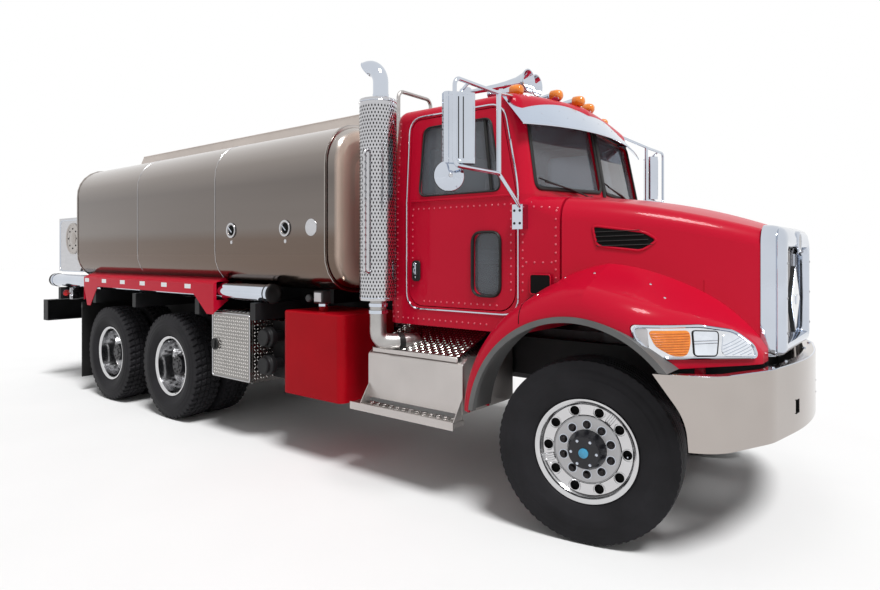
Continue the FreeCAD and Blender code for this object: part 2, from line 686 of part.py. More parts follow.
def door_outline(grow=0.0):
    """Door edge in side view; grow widens it all round for the opening."""
    slope_z = BELT_Z + 20
    return [(DOOR_REAR - grow, DOOR_BOTTOM - grow, 120), (DOOR_FRONT + grow, DOOR_BOTTOM - grow, 130),
            (DOOR_FRONT + grow, slope_z, 60), (DOOR_FRONT_TOP + grow, DOOR_TOP + grow, 60),
            (DOOR_REAR - grow, DOOR_TOP + grow, 80)]


def door_window_outline():
    return [(4412, 2068, 40), (5108, 2068, 40), (5010, 2560, 50), (4440, 2560, 50), (4412, 2510, 20)]


def peep_window_outline():
    return [(4892, 1378, 70), (5104, 1378, 70), (5104, 1792, 70), (4892, 1792, 70)]


def side_prism(points, side):
    low, high = sorted((side * 840, side * 1100))
    return slab(points, "xz", low, high)


def screen_outline(side):
    """One pane of the windscreen, seen from ahead."""
    return [(side * 34, 2104, 12), (side * 872, 2078, 55), (side * 836, 2560, 60), (side * 34, 2592, 12)]


def screen_prism(side, front=5500.0):
    points = screen_outline(side)
    if side < 0:
        points = points[::-1]
    return slab(points, "yz", 5100, front)


def rear_window_prism():
    return slab([(-560, 2120, 50), (560, 2120, 50), (560, 2500, 50), (-560, 2500, 50)], "yz", 4000, 4300)


def cab_shell(outer, inner):
    """Cab walls, floor and roof, open where the doors and windows go."""
    doors = [side_prism(door_outline(DOOR_GAP), side) for side, _ in SIDES]
    screens = [screen_prism(side) for side, _ in SIDES]
    return carve(outer, [inner, rear_window_prism()] + doors + screens)


def cab_glass(glass_skin):
    """Two windscreen panes and the rear pane, set inside their openings."""
    panes = [glass_skin.common(screen_prism(side)) for side, _ in SIDES]
    panes.append(glass_skin.common(rear_window_prism()))
    return group(panes)


def door(side, outer, inner):
    """Whole door cut from the cab's own wall, with its window and low peep window."""
    blank = outer.common(side_prism(door_outline(), side))
    windows = [side_prism(points, side) for points in (door_window_outline(), peep_window_outline())]
    panel = carve(blank, [inner] + windows)
    handle_z = 1530
    proud = side * (CAB_HALF + 14)
    handle = box((4372, 4422), sorted((side * (CAB_HALF - 2), proud)), (handle_z - 62, handle_z + 62))
    return panel.fuse(handle)


def door_glass(side, glass_skin):
    return group([glass_skin.common(side_prism(points, side))
                  for points in (door_window_outline(), peep_window_outline())])


def cab_seats():
    """Two high-backed seats on their pedestals."""
    seats = []
    for side in (RIGHT, LEFT):
        y = side * 450
        cushion = slab([(4420, 1570, 40), (4960, 1600, 35), (4960, 1690, 35), (4420, 1680, 35)],
                       "xz", y - 250, y + 250)
        back = slab([(4400, 1660, 40), (4530, 1660, 40), (4440, 2360, 40), (4330, 2360, 40)],
                    "xz", y - 235, y + 235)
        stand = box((4500, 4860), (y - 150, y + 150), (CAB_BOTTOM + CAB_WALL, 1590))
        seats.append(fuse([cushion, back, stand]))
    return group(seats)


def dashboard(inner):
    """Dash across the cab with a binnacle, the steering column and the wheel."""
    top = BELT_Z + 28
    panel = slab([(5150, 1700, 40), (5400, 1640, 20), (5400, top - 10, 20), (5230, top, 50), (5140, 1930, 60)],
                 "xz", -895, 895)
    column = rod(V(5200, 450, 1800), V(5010, 450, 1935), 34)
    tilt = V(-190, 0, 135).normalize()
    hub = V(5000, 450, 1942)
    ring = Part.makeTorus(235, 16, hub, tilt)
    across = Y
    up = tilt.cross(across).normalize()
    spokes = [rod(hub, hub + direction * 232, 14) for direction in (across, across * -1, up * -1, up)]
    cap = Part.makeCylinder(45, 40, hub - tilt * 20, tilt)
    return fuse([panel.common(inner), column, cap, ring] + spokes)


def sun_visor(cab):
    """Dropped visor bent from one sheet along the roof's front edge."""
    def edge(side_x, mid_x, half, side_z, mid_z):
        return Part.Arc(V(side_x, -half, side_z), V(mid_x, 0, mid_z), V(side_x, half, side_z)).toShape()

    back = edge(5105, 5228, 942, 2686, 2744)
    front = edge(5285, 5432, 978, 2482, 2518)
    sheet = Part.makeRuledSurface(back, front)
    plate = sheet.extrude(V(2.5, 0, 4))
    stays = [rod(V(5170, side * 600, 2560), V(5330, side * 600, 2543), 7) for side in (RIGHT, LEFT)]
    return fuse([plate] + stays).cut(cab)


def roof_height(y):
    return ROOF_Z - ROOF_CROWN_R + math.sqrt(ROOF_CROWN_R ** 2 - y * y)


def roof_lights(cab):
    """Five bullet marker lamps along the roof's front edge."""
    lamps = []
    for x, y in ((4925.0, -705.0), (5000.0, -270.0), (5045.0, 0.0), (5000.0, 270.0), (4925.0, 705.0)):
        z = roof_height(y) + LAMP_RISE
        body = turned([(0, 0, 0), (0, 20, 8), (120, 38, 10), (150, 40, 4), (178, 30, 14), (185, 0, 0)],
                      V(x, y, z), X)
        foot = box((x + 30, x + 130), (y - 22, y + 22), (z - LAMP_RISE - 20, z - 18))
        lamps.append(fuse([body, foot]).cut(cab))
    return group(lamps)


def air_horns(cab):
    """Two trumpets, one long and one short, on their roof feet."""
    horns = []
    for y, rear, mouth in ((-600.0, 4520.0, 5100.0), (-405.0, 4640.0, 5050.0)):
        z = roof_height(y) + HORN_RISE
        length = mouth - rear
        bell = turned([(0, 0, 0), (0, 42, 10), (70, 42, 10), (90, 18, 6), (length * 0.62, 24, 60),
                       (length * 0.9, 46, 60), (length, 82, 4), (length + 6, 82, 2), (length + 6, 74, 2),
                       (length - 40, 40, 30), (length - 80, 0, 0)], V(rear, y, z), X)
        feet = [box((rear + dx - 18, rear + dx + 18), (y - 14, y + 14), (z - HORN_RISE - 30, z - 10))
                for dx in (35, length * 0.62)]
        horns.append(fuse([bell] + feet).cut(cab))
    return group(horns)


def exhaust_stack(cab):
    """Upright pipe with the swept tip above and the elbow below that leads under the cab."""
    low = V(STACK_X + 330, STACK_Y + 190, ELBOW_Z)
    turn = V(STACK_X, STACK_Y, ELBOW_Z)
    top = V(STACK_X, STACK_Y, STACK_TOP - PIPE_R - 4)
    tip = top + V(-150, -14, 0)
    lower = tube([V(STACK_X, STACK_Y, GUARD_Z[0] + 200), turn, low, low + V(60, 260, 0)], PIPE_R, 118)
    upper = tube([V(STACK_X, STACK_Y, GUARD_Z[0] + 199), top, tip], PIPE_R, 110)
    mouth = rod(tip + V(-1, 0, 0), tip + V(110, 10, 0), PIPE_R - 4)
    muffler = rod(V(STACK_X, STACK_Y, GUARD_Z[0] + 25), V(STACK_X, STACK_Y, GUARD_Z[1] - 120), GUARD_R - 22)
    arms = [box((STACK_X - 25, STACK_X + 25), (STACK_Y, -CAB_HALF + 40), (z, z + 50)) for z in (1600, 2300)]
    return fuse([lower, upper, muffler] + arms).cut(mouth).cut(cab)


def muffler_guard():
    """Open sleeve round the muffler's outer side, with an upright grab bar."""
    centre = V(STACK_X, STACK_Y, GUARD_Z[0])
    tall = GUARD_Z[1] - GUARD_Z[0]
    sleeve = Part.makeCylinder(GUARD_R, tall, centre, Z).cut(Part.makeCylinder(GUARD_R - 4, tall, centre, Z))
    window = box((STACK_X - 70, STACK_X + 70), (STACK_Y + 20, STACK_Y + 200), GUARD_Z)
    sleeve = sleeve.cut(window)
    bar_y = STACK_Y - GUARD_R - 42
    bar = tube([V(STACK_X + 40, STACK_Y - GUARD_R + 10, 1520), V(STACK_X + 40, bar_y, 1520),
                V(STACK_X + 40, bar_y, 2380), V(STACK_X + 40, STACK_Y - GUARD_R + 10, 2380)], 12, 30)
    return fuse([sleeve, bar])


def mirror(side, cab):
    """Tall mirror in its looped bracket, with the round one below, held by the cowl and the roof."""
    x, r = MIRROR_LOOP_X, MIRROR_TUBE_R
    in_y, out_y = (side * v for v in MIRROR_LOOP_Y)
    low, high = MIRROR_LOOP_Z
    cowl_foot = V(5290, side * 990, 1900)
    bracket = box((5236, 5312), sorted((side * 950, side * 1036)), (1808, 1964))
    lower = tube([cowl_foot + V(0, side * 30, 40), V(x, in_y, low), V(x, out_y, low), V(x, out_y, high),
                  V(x, in_y, high), V(5150, side * 900, 2690)], r, 45)
    post = rod(V(x, in_y, low), V(x, in_y, high), 15)
    head = slab([(-45, -92, 24), (45, -92, 24), (45, 92, 24), (-45, 92, 24)], "xy", *MIRROR_Z)
    head.rotate(V(0, 0, 0), Z, side * MIRROR_TOE)
    head.translate(V(MIRROR_X, side * MIRROR_Y, 0))
    facing = V(-math.cos(math.radians(MIRROR_TOE)), -side * math.sin(math.radians(MIRROR_TOE)), 0)
    centre = V(MIRROR_X - 28, side * (MIRROR_Y + 55), MIRROR_Z[0] - 72)
    dish = turned([(0, 0, 0), (0, 88, 4), (-14, 88, 6), (-36, 52, 40), (-42, 0, 0)], centre, facing)
    hanger = rod(centre - facing * 20, V(MIRROR_X, side * (MIRROR_Y + 20), MIRROR_Z[0] + 10), 9)
    links = [rod(V(x, side * MIRROR_Y, z), V(MIRROR_X, side * MIRROR_Y, z_head), 9)
             for z, z_head in ((low, MIRROR_Z[0] + 5), (high, MIRROR_Z[1] - 5))]
    return fuse([bracket, lower, post, head, dish, hanger] + links).cut(cab)


# ---- hood assembly ---------------------------------------------------------------------------------------
def fender_section(x, out, half, crease, edge, shoulder, low):
    """Section across a fender: a top that slopes out from its crease on the hood's side, then the side."""
    slope = (crease - edge) / (out - half)
    return outline([(FENDER_IN, crease + slope * (half - FENDER_IN), 0), (out, edge, shoulder),
                    (out, low, 0), (FENDER_IN, low, 0)], "yz", x)


# stations from the crest to the nose: x, outside, hood's side, crease height, outer height, shoulder radius
FENDER_STATIONS = (
    (CREST_X, FENDER_OUT, 836.0, CREST_Z + CREST_R, CREST_Z + CREST_OUT_R, 150.0),
    (5950.0, 1219.0, 767.0, 1570.0, 1400.0, 145.0),
    (6100.0, 1178.0, 695.0, 1519.0, 1362.0, 130.0),
    (6230.0, 1086.0, 627.0, 1458.0, 1326.0, 115.0),
    (6360.0, 922.0, 557.0, 1373.0, 1284.0, 105.0),
    (6480.0, 764.0, 490.0, 1255.0, 1225.0, 90.0),
    (HOOD_FRONT + 40, 600.0, 440.0, 1112.0, 1100.0, 36.0))
# stations from the crest back to the tail: degrees about its centre, radius at the crease, at the outer
# edge, shoulder radius
TAIL_STATIONS = ((0.0, CREST_R, CREST_OUT_R, 150.0), (20.0, 940.0, 814.0, 145.0),
                 (42.0, 886.0, 830.0, 125.0), (65.0, 852.0, 841.0, 105.0), (88.0, TAIL_R, TAIL_R, 95.0))


def fender(side, inset):
    """Swept front fender: a sweep down over the wheel behind the crest, one inward to the nose ahead of it."""
    around = V(CREST_X, 0, CREST_Z)
    rear = []
    for turn, radius, edge, shoulder in TAIL_STATIONS:
        section = fender_section(CREST_X, FENDER_OUT - inset, 836.0, CREST_Z + radius - inset,
                                 CREST_Z + edge - inset, shoulder - inset, CREST_Z + 540)
        section.rotate(around, Y, -turn * (1 + inset * 0.003))
        rear.append(section)
    length = FENDER_STATIONS[-1][0] - CREST_X
    low = HOOD_BOTTOM - inset * 3
    ahead = [fender_section(x - inset * (x - CREST_X) / length, out - inset, half, crease - inset, edge - inset,
                            shoulder - inset, low)
             for x, out, half, crease, edge, shoulder in FENDER_STATIONS]
    solid = Part.makeLoft(rear, True, False).fuse(Part.makeLoft(ahead, True, False))
    beside_cab = CAB_HALF + FENDER_CAB_GAP + (HOOD_WALL if inset > 0 else 0)
    solid = solid.cut(box((4800, HOOD_REAR), (0, beside_cab), (500, 1700)))
    return solid if side == LEFT else mirrored(solid)


def arch_cylinder(radius):
    return Part.makeCylinder(radius, 2600, V(WHEELBASE, -1300, ARCH_Z), Y)


def hood_parts():
    """Hood with both fenders as one open shell; slivers left where the two sweeps meet are dropped."""
    outer = hood_body(0)
    for side, _ in SIDES:
        outer = outer.fuse(fender(side, 0))
    inside = [hood_body(HOOD_WALL)] + [fender(side, HOOD_WALL) for side, _ in SIDES]
    lamp_holes = [lamp_prism(side, 1.5) for side, _ in SIDES]
    mouth = slab([(-GRILLE_HALF + 60, 1100, 30), (GRILLE_HALF - 60, 1100, 30),
                  (GRILLE_HALF - 60, 1700, 60), (-GRILLE_HALF + 60, 1700, 60)], "yz", HOOD_FRONT - 60, 6700)
    nose = box((HOOD_FRONT, 6800), (-GRILLE_HALF - 5, GRILLE_HALF + 5), (900, 1900))
    shell = carve(outer, inside + lamp_holes + [arch_cylinder(ARCH_R), mouth, nose])
    return max(shell.Solids, key=lambda solid: solid.Volume)


def hood_arms():
    """Cranked arms from the hood's sides down behind the bumper, and forward to the pivot."""
    x, z = HOOD_PIVOT_X, HOOD_PIVOT_Z
    points = [(x - 390, z - 110, 20), (x + 20, z - 22, 18), (x + 20, z + 22, 18), (x - 335, z - 45, 20),
              (x - 335, 1500, 0), (x - 390, 1500, 0)]
    return [slab(points, "xz", *sorted((side * (HOOD_ARM_Y - 10), side * (HOOD_ARM_Y + 12))))
            for side in (RIGHT, LEFT)]


def fender_flares():
    """Rubber lip round each wheel opening with the liner behind it."""
    parts = []
    for side in (RIGHT, LEFT):
        low, high = sorted((side * (FENDER_OUT - 26), side * (FENDER_OUT + 10)))
        lip = arc_band(ARCH_R - FLARE, ARCH_R - 0.5, low, high)
        low, high = sorted((side * (HOOD_ARM_Y + 17), side * (FENDER_OUT - 20)))
        liner = arc_band(ARCH_R - LINER, ARCH_R - 0.5, low, high)
        reach = CAB_HALF + FENDER_CAB_GAP
        cab_clear = box((4800, HOOD_REAR), (-reach, reach), (500, 1700))
        parts.append(lip.fuse(liner).cut(cab_clear))
    return group(parts)


def arc_band(inner_r, outer_r, low, high):
    """Ring about the wheel opening's centre, kept above the fender's tail and the hood's lower edge."""
    ring = Part.makeCylinder(outer_r, high - low, V(WHEELBASE, low, ARCH_Z), Y)
    ring = ring.cut(Part.makeCylinder(inner_r, high - low, V(WHEELBASE, low, ARCH_Z), Y))
    keep = fuse([box((4900, WHEELBASE), (low, high), (672, 1500)),
                 box((WHEELBASE, 6700), (low, high), (HOOD_BOTTOM, 1500))])
    return ring.common(keep)


def grille_surround():
    """Bright frame round the grille, flared back to the hood's front edge."""
    half, top, low = GRILLE_HALF, HOOD_TOP_FRONT + 6, HOOD_BOTTOM + GRILLE_LIFT
    back = outline([(-half - 4, low, 10), (half + 4, low, 10), (half + 4, top, 84), (-half - 4, top, 84)],
                   "yz", HOOD_FRONT + 0.5)
    front = outline([(-half + 34, low + 4, 10), (half - 34, low + 4, 10), (half - 34, top - 40, 70),
                     (-half + 34, top - 40, 70)], "yz", GRILLE_FRONT)
    body = Part.makeLoft([back, front], True, True)
    mouth = grille_opening(0, HOOD_FRONT - 20, GRILLE_FRONT + 20)
    bars = [box((GRILLE_FRONT - 70, GRILLE_FRONT - 46), (y - 12, y + 12), (low + 40, top - 60))
            for y in (-130.0, 130.0)]
    badge = turned([(0, 0, 0), (0, 58, 6), (16, 50, 4), (18, 0, 0)], V(GRILLE_FRONT - 12, 0, 1728), X)
    frame = placard_frame()
    return fuse([body.cut(mouth), badge, frame] + bars)


def grille_opening(inset, low_x, high_x):
    half = GRILLE_HALF - 88 - inset
    return slab([(-half, 1118 + inset, 24), (half, 1118 + inset, 24), (half, 1672 - inset, 60),
                 (60, 1690 - inset, 20), (0, 1660 - inset, 40), (-60, 1690 - inset, 20),
                 (-half, 1672 - inset, 60)], "yz", low_x, high_x)


def placard_frame():
    """Diamond holder on the grille's middle, left blank, tied to the bars each side."""
    def diamond(half, tall, low_x, high_x):
        return slab([(-half, 1372, 0), (0, 1372 - tall, 0), (half, 1372, 0), (0, 1372 + tall, 0)],
                    "yz", low_x, high_x)

    plate = diamond(150, 205, GRILLE_FRONT - 46, GRILLE_FRONT - 34)
    rim_band = diamond(150, 205, GRILLE_FRONT - 35, GRILLE_FRONT - 26).cut(
        diamond(128, 178, GRILLE_FRONT - 36, GRILLE_FRONT - 20))
    return fuse([plate, rim_band])


def grille_mesh():
    """Backing panel of the grille; the fine mesh is finished elsewhere."""
    return grille_opening(1.0, HOOD_FRONT + 2, HOOD_FRONT + 26)


def lamp_prism(side, gap=0.0):
    """Long teardrop seen square to the fender's corner, its blunt end outboard; gap widens it."""
    points = [(u + (gap if u > 0 else -gap), v + (gap if v > LAMP_Z else -gap), r) for u, v, r in LAMP_POINTS]
    prism = slab(points, "yz", -120, 200)
    prism.rotate(V(0, 0, 0), Z, LAMP_AIM)
    prism.translate(V(LAMP_X, LAMP_Y, 0))
    return prism if side == LEFT else mirrored(prism)


def headlights():
    """Long lamp units let into each fender's front corner, following the fender's own surface."""
    lamps = []
    for side in (RIGHT, LEFT):
        block = fender(side, -6).common(lamp_prism(side))
        lamps.append(block.cut(fender(side, HOOD_WALL + 40)).cut(arch_cylinder(ARCH_R)))
    return group(lamps)


# ---- front bumper ------------------------------------------------------------------------------------------
def bumper_plan(skin, lip):
    """Half outline seen from above, bowed ahead and swept back at its end; skin and lip make the inside."""
    front, half, sweep = BUMPER_FRONT - skin, BUMPER_HALF - skin * 0.6, 6175.0
    outside = [(front - 88, -690, 420), (6478 - skin * 0.8, -1085 + skin * 0.5, 260), (sweep, -half, 0)]
    inside = [(sweep, -half + lip, 0), (6445, -1085 + lip, 200), (front - 88 - lip, -690, 380)]
    return outside, inside


def front_bumper():
    """Deep bright bumper, bowed ahead, its ends swept back round the tyres, with two square tow openings."""
    def plan(skin, lip):
        outside, inside = bumper_plan(skin, lip)
        front = [(BUMPER_FRONT + 36 - skin, 0, 2250)]
        back = [(BUMPER_FRONT + 36 - skin - lip, 0, 2150)]
        left_out = [(x, -y, r) for x, y, r in outside[::-1]]
        left_in = [(x, -y, r) for x, y, r in inside[::-1]]
        return front + outside + inside + back + left_in + left_out

    body = slab(plan(0, 70), "xy", BUMPER_BOTTOM, BUMPER_TOP)
    end = slab([(6165, BUMPER_TOP + 1, 0), (6800, BUMPER_TOP + 1, 0), (6800, BUMPER_BOTTOM - 1, 0),
                (6346, BUMPER_BOTTOM - 1, 0), (6334, 800, 330), (6180, BUMPER_TOP, 0)], "xz", -1300, 1300)
    hollow = slab(plan(BUMPER_SKIN, 120), "xy", BUMPER_BOTTOM + BUMPER_SKIN, BUMPER_TOP - BUMPER_SKIN)
    holes = [box((6550, 6800), (side * TOW_HOLE_Y - 32, side * TOW_HOLE_Y + 32), (TOW_HOLE_Z - 40, TOW_HOLE_Z + 40))
             for side in (RIGHT, LEFT)]
    return carve(body.common(end), [hollow] + holes)


# ---- boxes, steps and tanks beside the frame -----------------------------------------------------------------
def step_box():
    """Right-hand battery box with its tread plate top, full-width lower step and end brackets."""
    x, z = STEP_BOX, STEP_Z
    face = BODY_HALF - 105
    case = slab([(-face, z[0] + 70, 0), (-face, z[1] - 40, 30), (-face + 60, z[1], 30), (-470, z[1], 0),
                 (-470, z[0] + 70, 0)], "yz", *x)
    tread = box((x[0] - 90, x[1]), (-BODY_HALF, -face + 20), (z[0], z[0] + 34))
    toe = box((x[0] - 90, x[1]), (-BODY_HALF, -BODY_HALF + 6), (z[0] - 14, z[0] + 40))
    ends = [slab([(-BODY_HALF + 6, z[0] + 30, 0), (-face + 10, z[0] + 30, 0), (-face + 10, z[0] + 190, 0)],
                 "yz", end, end + 6) for end in (x[0] + 4, x[1] - 10)]
    arms = [box((mid - 40, mid + 40), (-480, -FRAME_HALF), (z[1] - 170, z[1] - 60)) for mid in (x[0] + 180, x[1] - 180)]
    return fuse([case, tread, toe] + ends + arms)


def fuel_tank():
    """Left-hand round fuel tank on its straps, with two tread steps outboard."""
    radius = 318.0
    centre_y, centre_z = FRAME_HALF + 40 + radius, 800.0
    x = (3900.0, 4885.0)
    barrel = Part.makeCylinder(radius, x[1] - x[0], V(x[0], centre_y, centre_z), X)
    barrel = barrel.makeFillet(22, [e for e in barrel.Edges if e.Closed and e.Length > 1000])
    cap = Part.makeCylinder(55, 60, V(x[0] + 120, centre_y, centre_z + radius - 14), Z)
    straps = []
    for mid in (x[0] + 220, x[1] - 220):
        ring = Part.makeCylinder(radius + 7, 60, V(mid - 30, centre_y, centre_z), X)
        bracket = box((mid - 30, mid + 30), (FRAME_HALF, centre_y), (centre_z - radius, centre_z + 150))
        straps += [ring, bracket]
    steps = []
    for level, inset in ((centre_z - radius + 12, 0), (centre_z + 90, 20)):
        steps.append(box((x[0] + 60, x[1] - 60), (centre_y + radius - 120, BODY_HALF - inset),
                         (level, level + 30)))
    return fuse([barrel, cap] + straps + steps)


def side_tank():
    """Right-hand red reservoir with its riser and gauge box."""
    x, z = SIDE_TANK, SIDE_TANK_Z
    case = slab([(x[0], -BODY_HALF, 60), (x[1], -BODY_HALF, 60), (x[1], -SIDE_TANK_IN, 20), (x[0], -SIDE_TANK_IN, 20)],
                "xy", *z)
    top_edges = [e for e in case.Edges if abs(e.CenterOfMass.z - z[1]) < 1]
    case = case.makeFillet(14, top_edges)
    riser = rod(V(x[0] + 330, -1040, z[1] - 5), V(x[0] + 330, -1040, z[1] + 66), 38)
    gauge = box((x[0] + 270, x[0] + 372), (-1090, -1005), (z[1] + 66, z[1] + 160))
    arms = [box((mid - 40, mid + 40), (-SIDE_TANK_IN - 10, -FRAME_HALF), (z[1] - 330, z[1] - 200))
            for mid in (x[0] + 150, x[1] - 150)]
    return fuse([case, riser, gauge] + arms)


def toolbox_inside():
    sheet = 4.0
    x, z = TOOLBOX, TOOLBOX_Z
    return box((x[0] + sheet, x[1] - sheet), (-BODY_HALF - 10, -620 - sheet), (z[0] + sheet, z[1] - sheet))


def toolbox():
    """Hollow tread-plate box, open on its outer face where the door closes it."""
    x, z = TOOLBOX, TOOLBOX_Z
    case = box(x, (-BODY_HALF + 24, -620), z).cut(toolbox_inside())
    arms = [box((mid - 35, mid + 35), (-630, -FRAME_HALF), (z[1] - 200, z[1] - 110))
            for mid in (x[0] + 120, x[1] - 120)]
    return fuse([case] + arms)


def toolbox_door():
    """Flat door hinged at its forward edge, with a raised latch near the rear edge."""
    x, z = TOOLBOX, TOOLBOX_Z
    panel = slab([(x[0] + 6, z[0] + 6, 18), (x[1] - 6, z[0] + 6, 18), (x[1] - 6, z[1] - 6, 18), (x[0] + 6, z[1] - 6, 18)],
                 "xz", -BODY_HALF, -BODY_HALF + 23)
    latch = Part.makeCylinder(52, 12, V(x[0] + 75, -BODY_HALF + 2, (z[0] + z[1]) / 2), Y * -1)
    return fuse([panel, latch])


def loading_couplings():
    """Two capped bottom-loading connections beside the toolbox."""
    caps = []
    x = TOOLBOX[1]
    for z in (690.0, 930.0):
        centre = V(x + 115, -BODY_HALF + 130, z)
        pipe = rod(V(x + 115, -FRAME_HALF, z), centre, 48)
        body = turned([(0, 0, 0), (0, 88, 6), (46, 88, 6), (60, 72, 6), (96, 72, 12), (96, 0, 0)],
                      centre, Y * -1)
        caps += [pipe, body]
    plate = box((x + 5, x + 225), (-BODY_HALF + 230, -BODY_HALF + 240), (560, 1060))
    return fuse(caps + [plate])


# ---- tank --------------------------------------------------------------------------------------------------------
def tank_section(x, inset=0.0):
    """Rounded-box tank section: crowned top and bottom, nearly flat sides, tangent corners."""
    half, top, low = TANK_HALF - inset, TANK_TOP - inset, TANK_BOTTOM + inset
    corner_top, corner_low = 330.0 - inset * 0.8, 290.0 - inset * 0.8
    shoulder_z = top - 62
    chine_z = low + 74
    points = [(-half, chine_z, corner_low), (0, low - 2, 2600), (half, chine_z, corner_low),
              (half, shoulder_z, corner_top), (0, top + 8, 2400), (-half, shoulder_z, corner_top)]
    return outline(points, "yz", x)


def tank_body():
    """Barrel with a dished head at each end."""
    barrel = Part.Face(tank_section(TANK_REAR)).extrude(V(TANK_FRONT - TANK_REAR, 0, 0))
    heads = []
    for x, way in ((TANK_FRONT, 1), (TANK_REAR, -1)):
        heads.append(Part.makeLoft([tank_section(x - way * 1, 14), tank_section(x + way * 18, 22),
                                    tank_section(x + way * TANK_HEAD_DISH, 230)], True, False))
    return fuse([barrel] + heads)


def tank():
    """Tank with its manway collars and the side fittings' cups."""
    body = tank_body()
    collars = []
    for _, x in MANHOLES:
        collars.append(Part.makeCylinder(MANHOLE_R - 25, MANHOLE_TOP - TANK_TOP + 60, V(x, 0, TANK_TOP - 60), Z))
    for x in (2440.0, 3200.0):
        for side in (RIGHT, LEFT):
            cup = turned([(-20, 0, 0), (-20, 62, 0), (9, 62, 4), (9, 48, 4), (2, 44, 0), (2, 0, 0)],
                         V(x, side * TANK_HALF, 1860), V(0, side, 0))
            collars.append(cup)
    return fuse([body] + collars)


def spill_dam(body):
    """Upright sheets that ring the tank's top, closed at both ends, with sloped ends outside."""
    low = TANK_TOP - 80
    ring = slab([(DAM_REAR, -DAM_HALF, 0), (DAM_FRONT, -DAM_HALF, 0), (DAM_FRONT, DAM_HALF, 0),
                 (DAM_REAR, DAM_HALF, 0)], "xy", low, DAM_TOP)
    inside = box((DAM_REAR + DAM_SHEET, DAM_FRONT - DAM_SHEET), (-DAM_HALF + DAM_SHEET, DAM_HALF - DAM_SHEET),
                 (low - 1, DAM_TOP + 1))
    sheets = [ring.cut(inside)]
    for side in (RIGHT, LEFT):
        y = side * (DAM_HALF - DAM_SHEET / 2)
        for end, way in ((DAM_REAR, -1), (DAM_FRONT, 1)):
            points = [(end, low, 0), (end + way * 200, low, 0), (end + way * 195, low + 60, 0), (end, DAM_TOP, 0)]
            if way > 0:
                points = points[::-1]
            sheets.append(slab(points, "xz", y - DAM_SHEET / 2, y + DAM_SHEET / 2))
    return fuse(sheets).cut(body)


def manhole_lid(x):
    """Round lid with a raised rim and a hinge lug on its left edge."""
    lid = turned([(0, 0, 0), (0, MANHOLE_R, 4), (16, MANHOLE_R, 6), (20, MANHOLE_R - 40, 10),
                  (34, MANHOLE_R - 90, 20), (36, 0, 0)], V(x, 0, MANHOLE_TOP + 1), Z)
    lug = box((x - 40, x + 40), (MANHOLE_R - 30, MANHOLE_R + 22), (MANHOLE_TOP + 1, MANHOLE_TOP + 17))
    handle = tube([V(x - 70, -150, MANHOLE_TOP + 30), V(x - 70, -150, MANHOLE_TOP + 66),
                   V(x + 70, -150, MANHOLE_TOP + 66), V(x + 70, -150, MANHOLE_TOP + 30)], 8, 14)
    return fuse([lid, lug, handle])


def tank_ladder(body):
    """Ladder on the front head whose side rails meet in a hoop above the tank."""
    rails_y = (-572.0, -152.0)
    x = TANK_FRONT + TANK_HEAD_DISH + 75
    top = LADDER_TOP
    hoop = tube([V(x, rails_y[0], 1130), V(x, rails_y[0], top), V(x, rails_y[1], top), V(x, rails_y[1], 1130)],
                16, 60)
    rungs = [rod(V(x, rails_y[0], z), V(x, rails_y[1], z), 13) for z in range(1250, 2650, 300)]
    stays = [rod(V(TANK_FRONT, y, z), V(x, y, z), 12) for y in rails_y for z in (1550, 2500)]
    foot = box((x - 120, x + 20), (rails_y[0] - 20, -FRAME_HALF + 60), (FRAME_TOP, 1134))
    return fuse([hoop, foot] + rungs + [stay.cut(body) for stay in stays])


# ---- rear fenders, tubes, cabinet and lights --------------------------------------------------------------------
def rear_fender(side, body):
    """Long sheet fender over the tandem: sloped deck, folded lip and ends turned down."""
    lip_y, top, sheet = FENDER_LIP_Y, FENDER_LIP_TOP, FENDER_SHEET
    x0, x1 = REAR_FENDER
    inner_y, inner_z = 985.0, top + 120
    deck = slab([(lip_y, top, 0), (lip_y, top - sheet, 0), (inner_y, inner_z - sheet, 0), (inner_y, inner_z, 0)],
                "yz", x0, x1)
    skirt_low = top - FENDER_SKIRT
    skirt = slab([(x0, top, 20), (x1, top, 20), (x1, 1100, 10), (x1 - 112, 1100, 10), (1850, skirt_low, 40),
                  (-215, skirt_low, 40), (-402, 1050, 10), (x0 + 90, 1050, 10), (x0, skirt_low, 20)],
                 "xz", lip_y - sheet, lip_y)
    ends = [slab([(lip_y, 1110, 0), (lip_y, top, 0), (inner_y, inner_z, 0), (inner_y, 1300, 0)], "yz", x, x + sheet)
            for x in (x0, x1 - sheet)]
    around = box((x0 - 20, x1 + 20), (HOSE_TUBE_Y - HOSE_TUBE_R - 4, HOSE_TUBE_Y + HOSE_TUBE_R + 4),
                 (HOSE_TUBE_Z - HOSE_TUBE_R - 4, HOSE_TUBE_Z + HOSE_TUBE_R + 4))
    beams = fuse([outrigger(x) for x in OUTRIGGER_X])
    whole = fuse([deck, skirt] + [end.cut(around) for end in ends])
    whole = whole.cut(beams).cut(body)
    return whole if side == LEFT else mirrored(whole)


def hose_tube(side):
    """Long capped tube for a hose, lying on the outriggers inside the fender."""
    y = side * HOSE_TUBE_Y
    start, end = HOSE_TUBE_X
    pipe = rod(V(start, y, HOSE_TUBE_Z), V(end, y, HOSE_TUBE_Z), HOSE_TUBE_R)
    bore = rod(V(start + 30, y, HOSE_TUBE_Z), V(end - 30, y, HOSE_TUBE_Z), HOSE_TUBE_R - 4)
    bands = [rod(V(x, y, HOSE_TUBE_Z), V(x + 34, y, HOSE_TUBE_Z), HOSE_TUBE_R + 6)
             for x in (start + 60, end - 36)]
    return fuse([pipe.cut(bore)] + [band.cut(rod(V(start, y, HOSE_TUBE_Z), V(end, y, HOSE_TUBE_Z), HOSE_TUBE_R - 1))
                                    for band in bands])


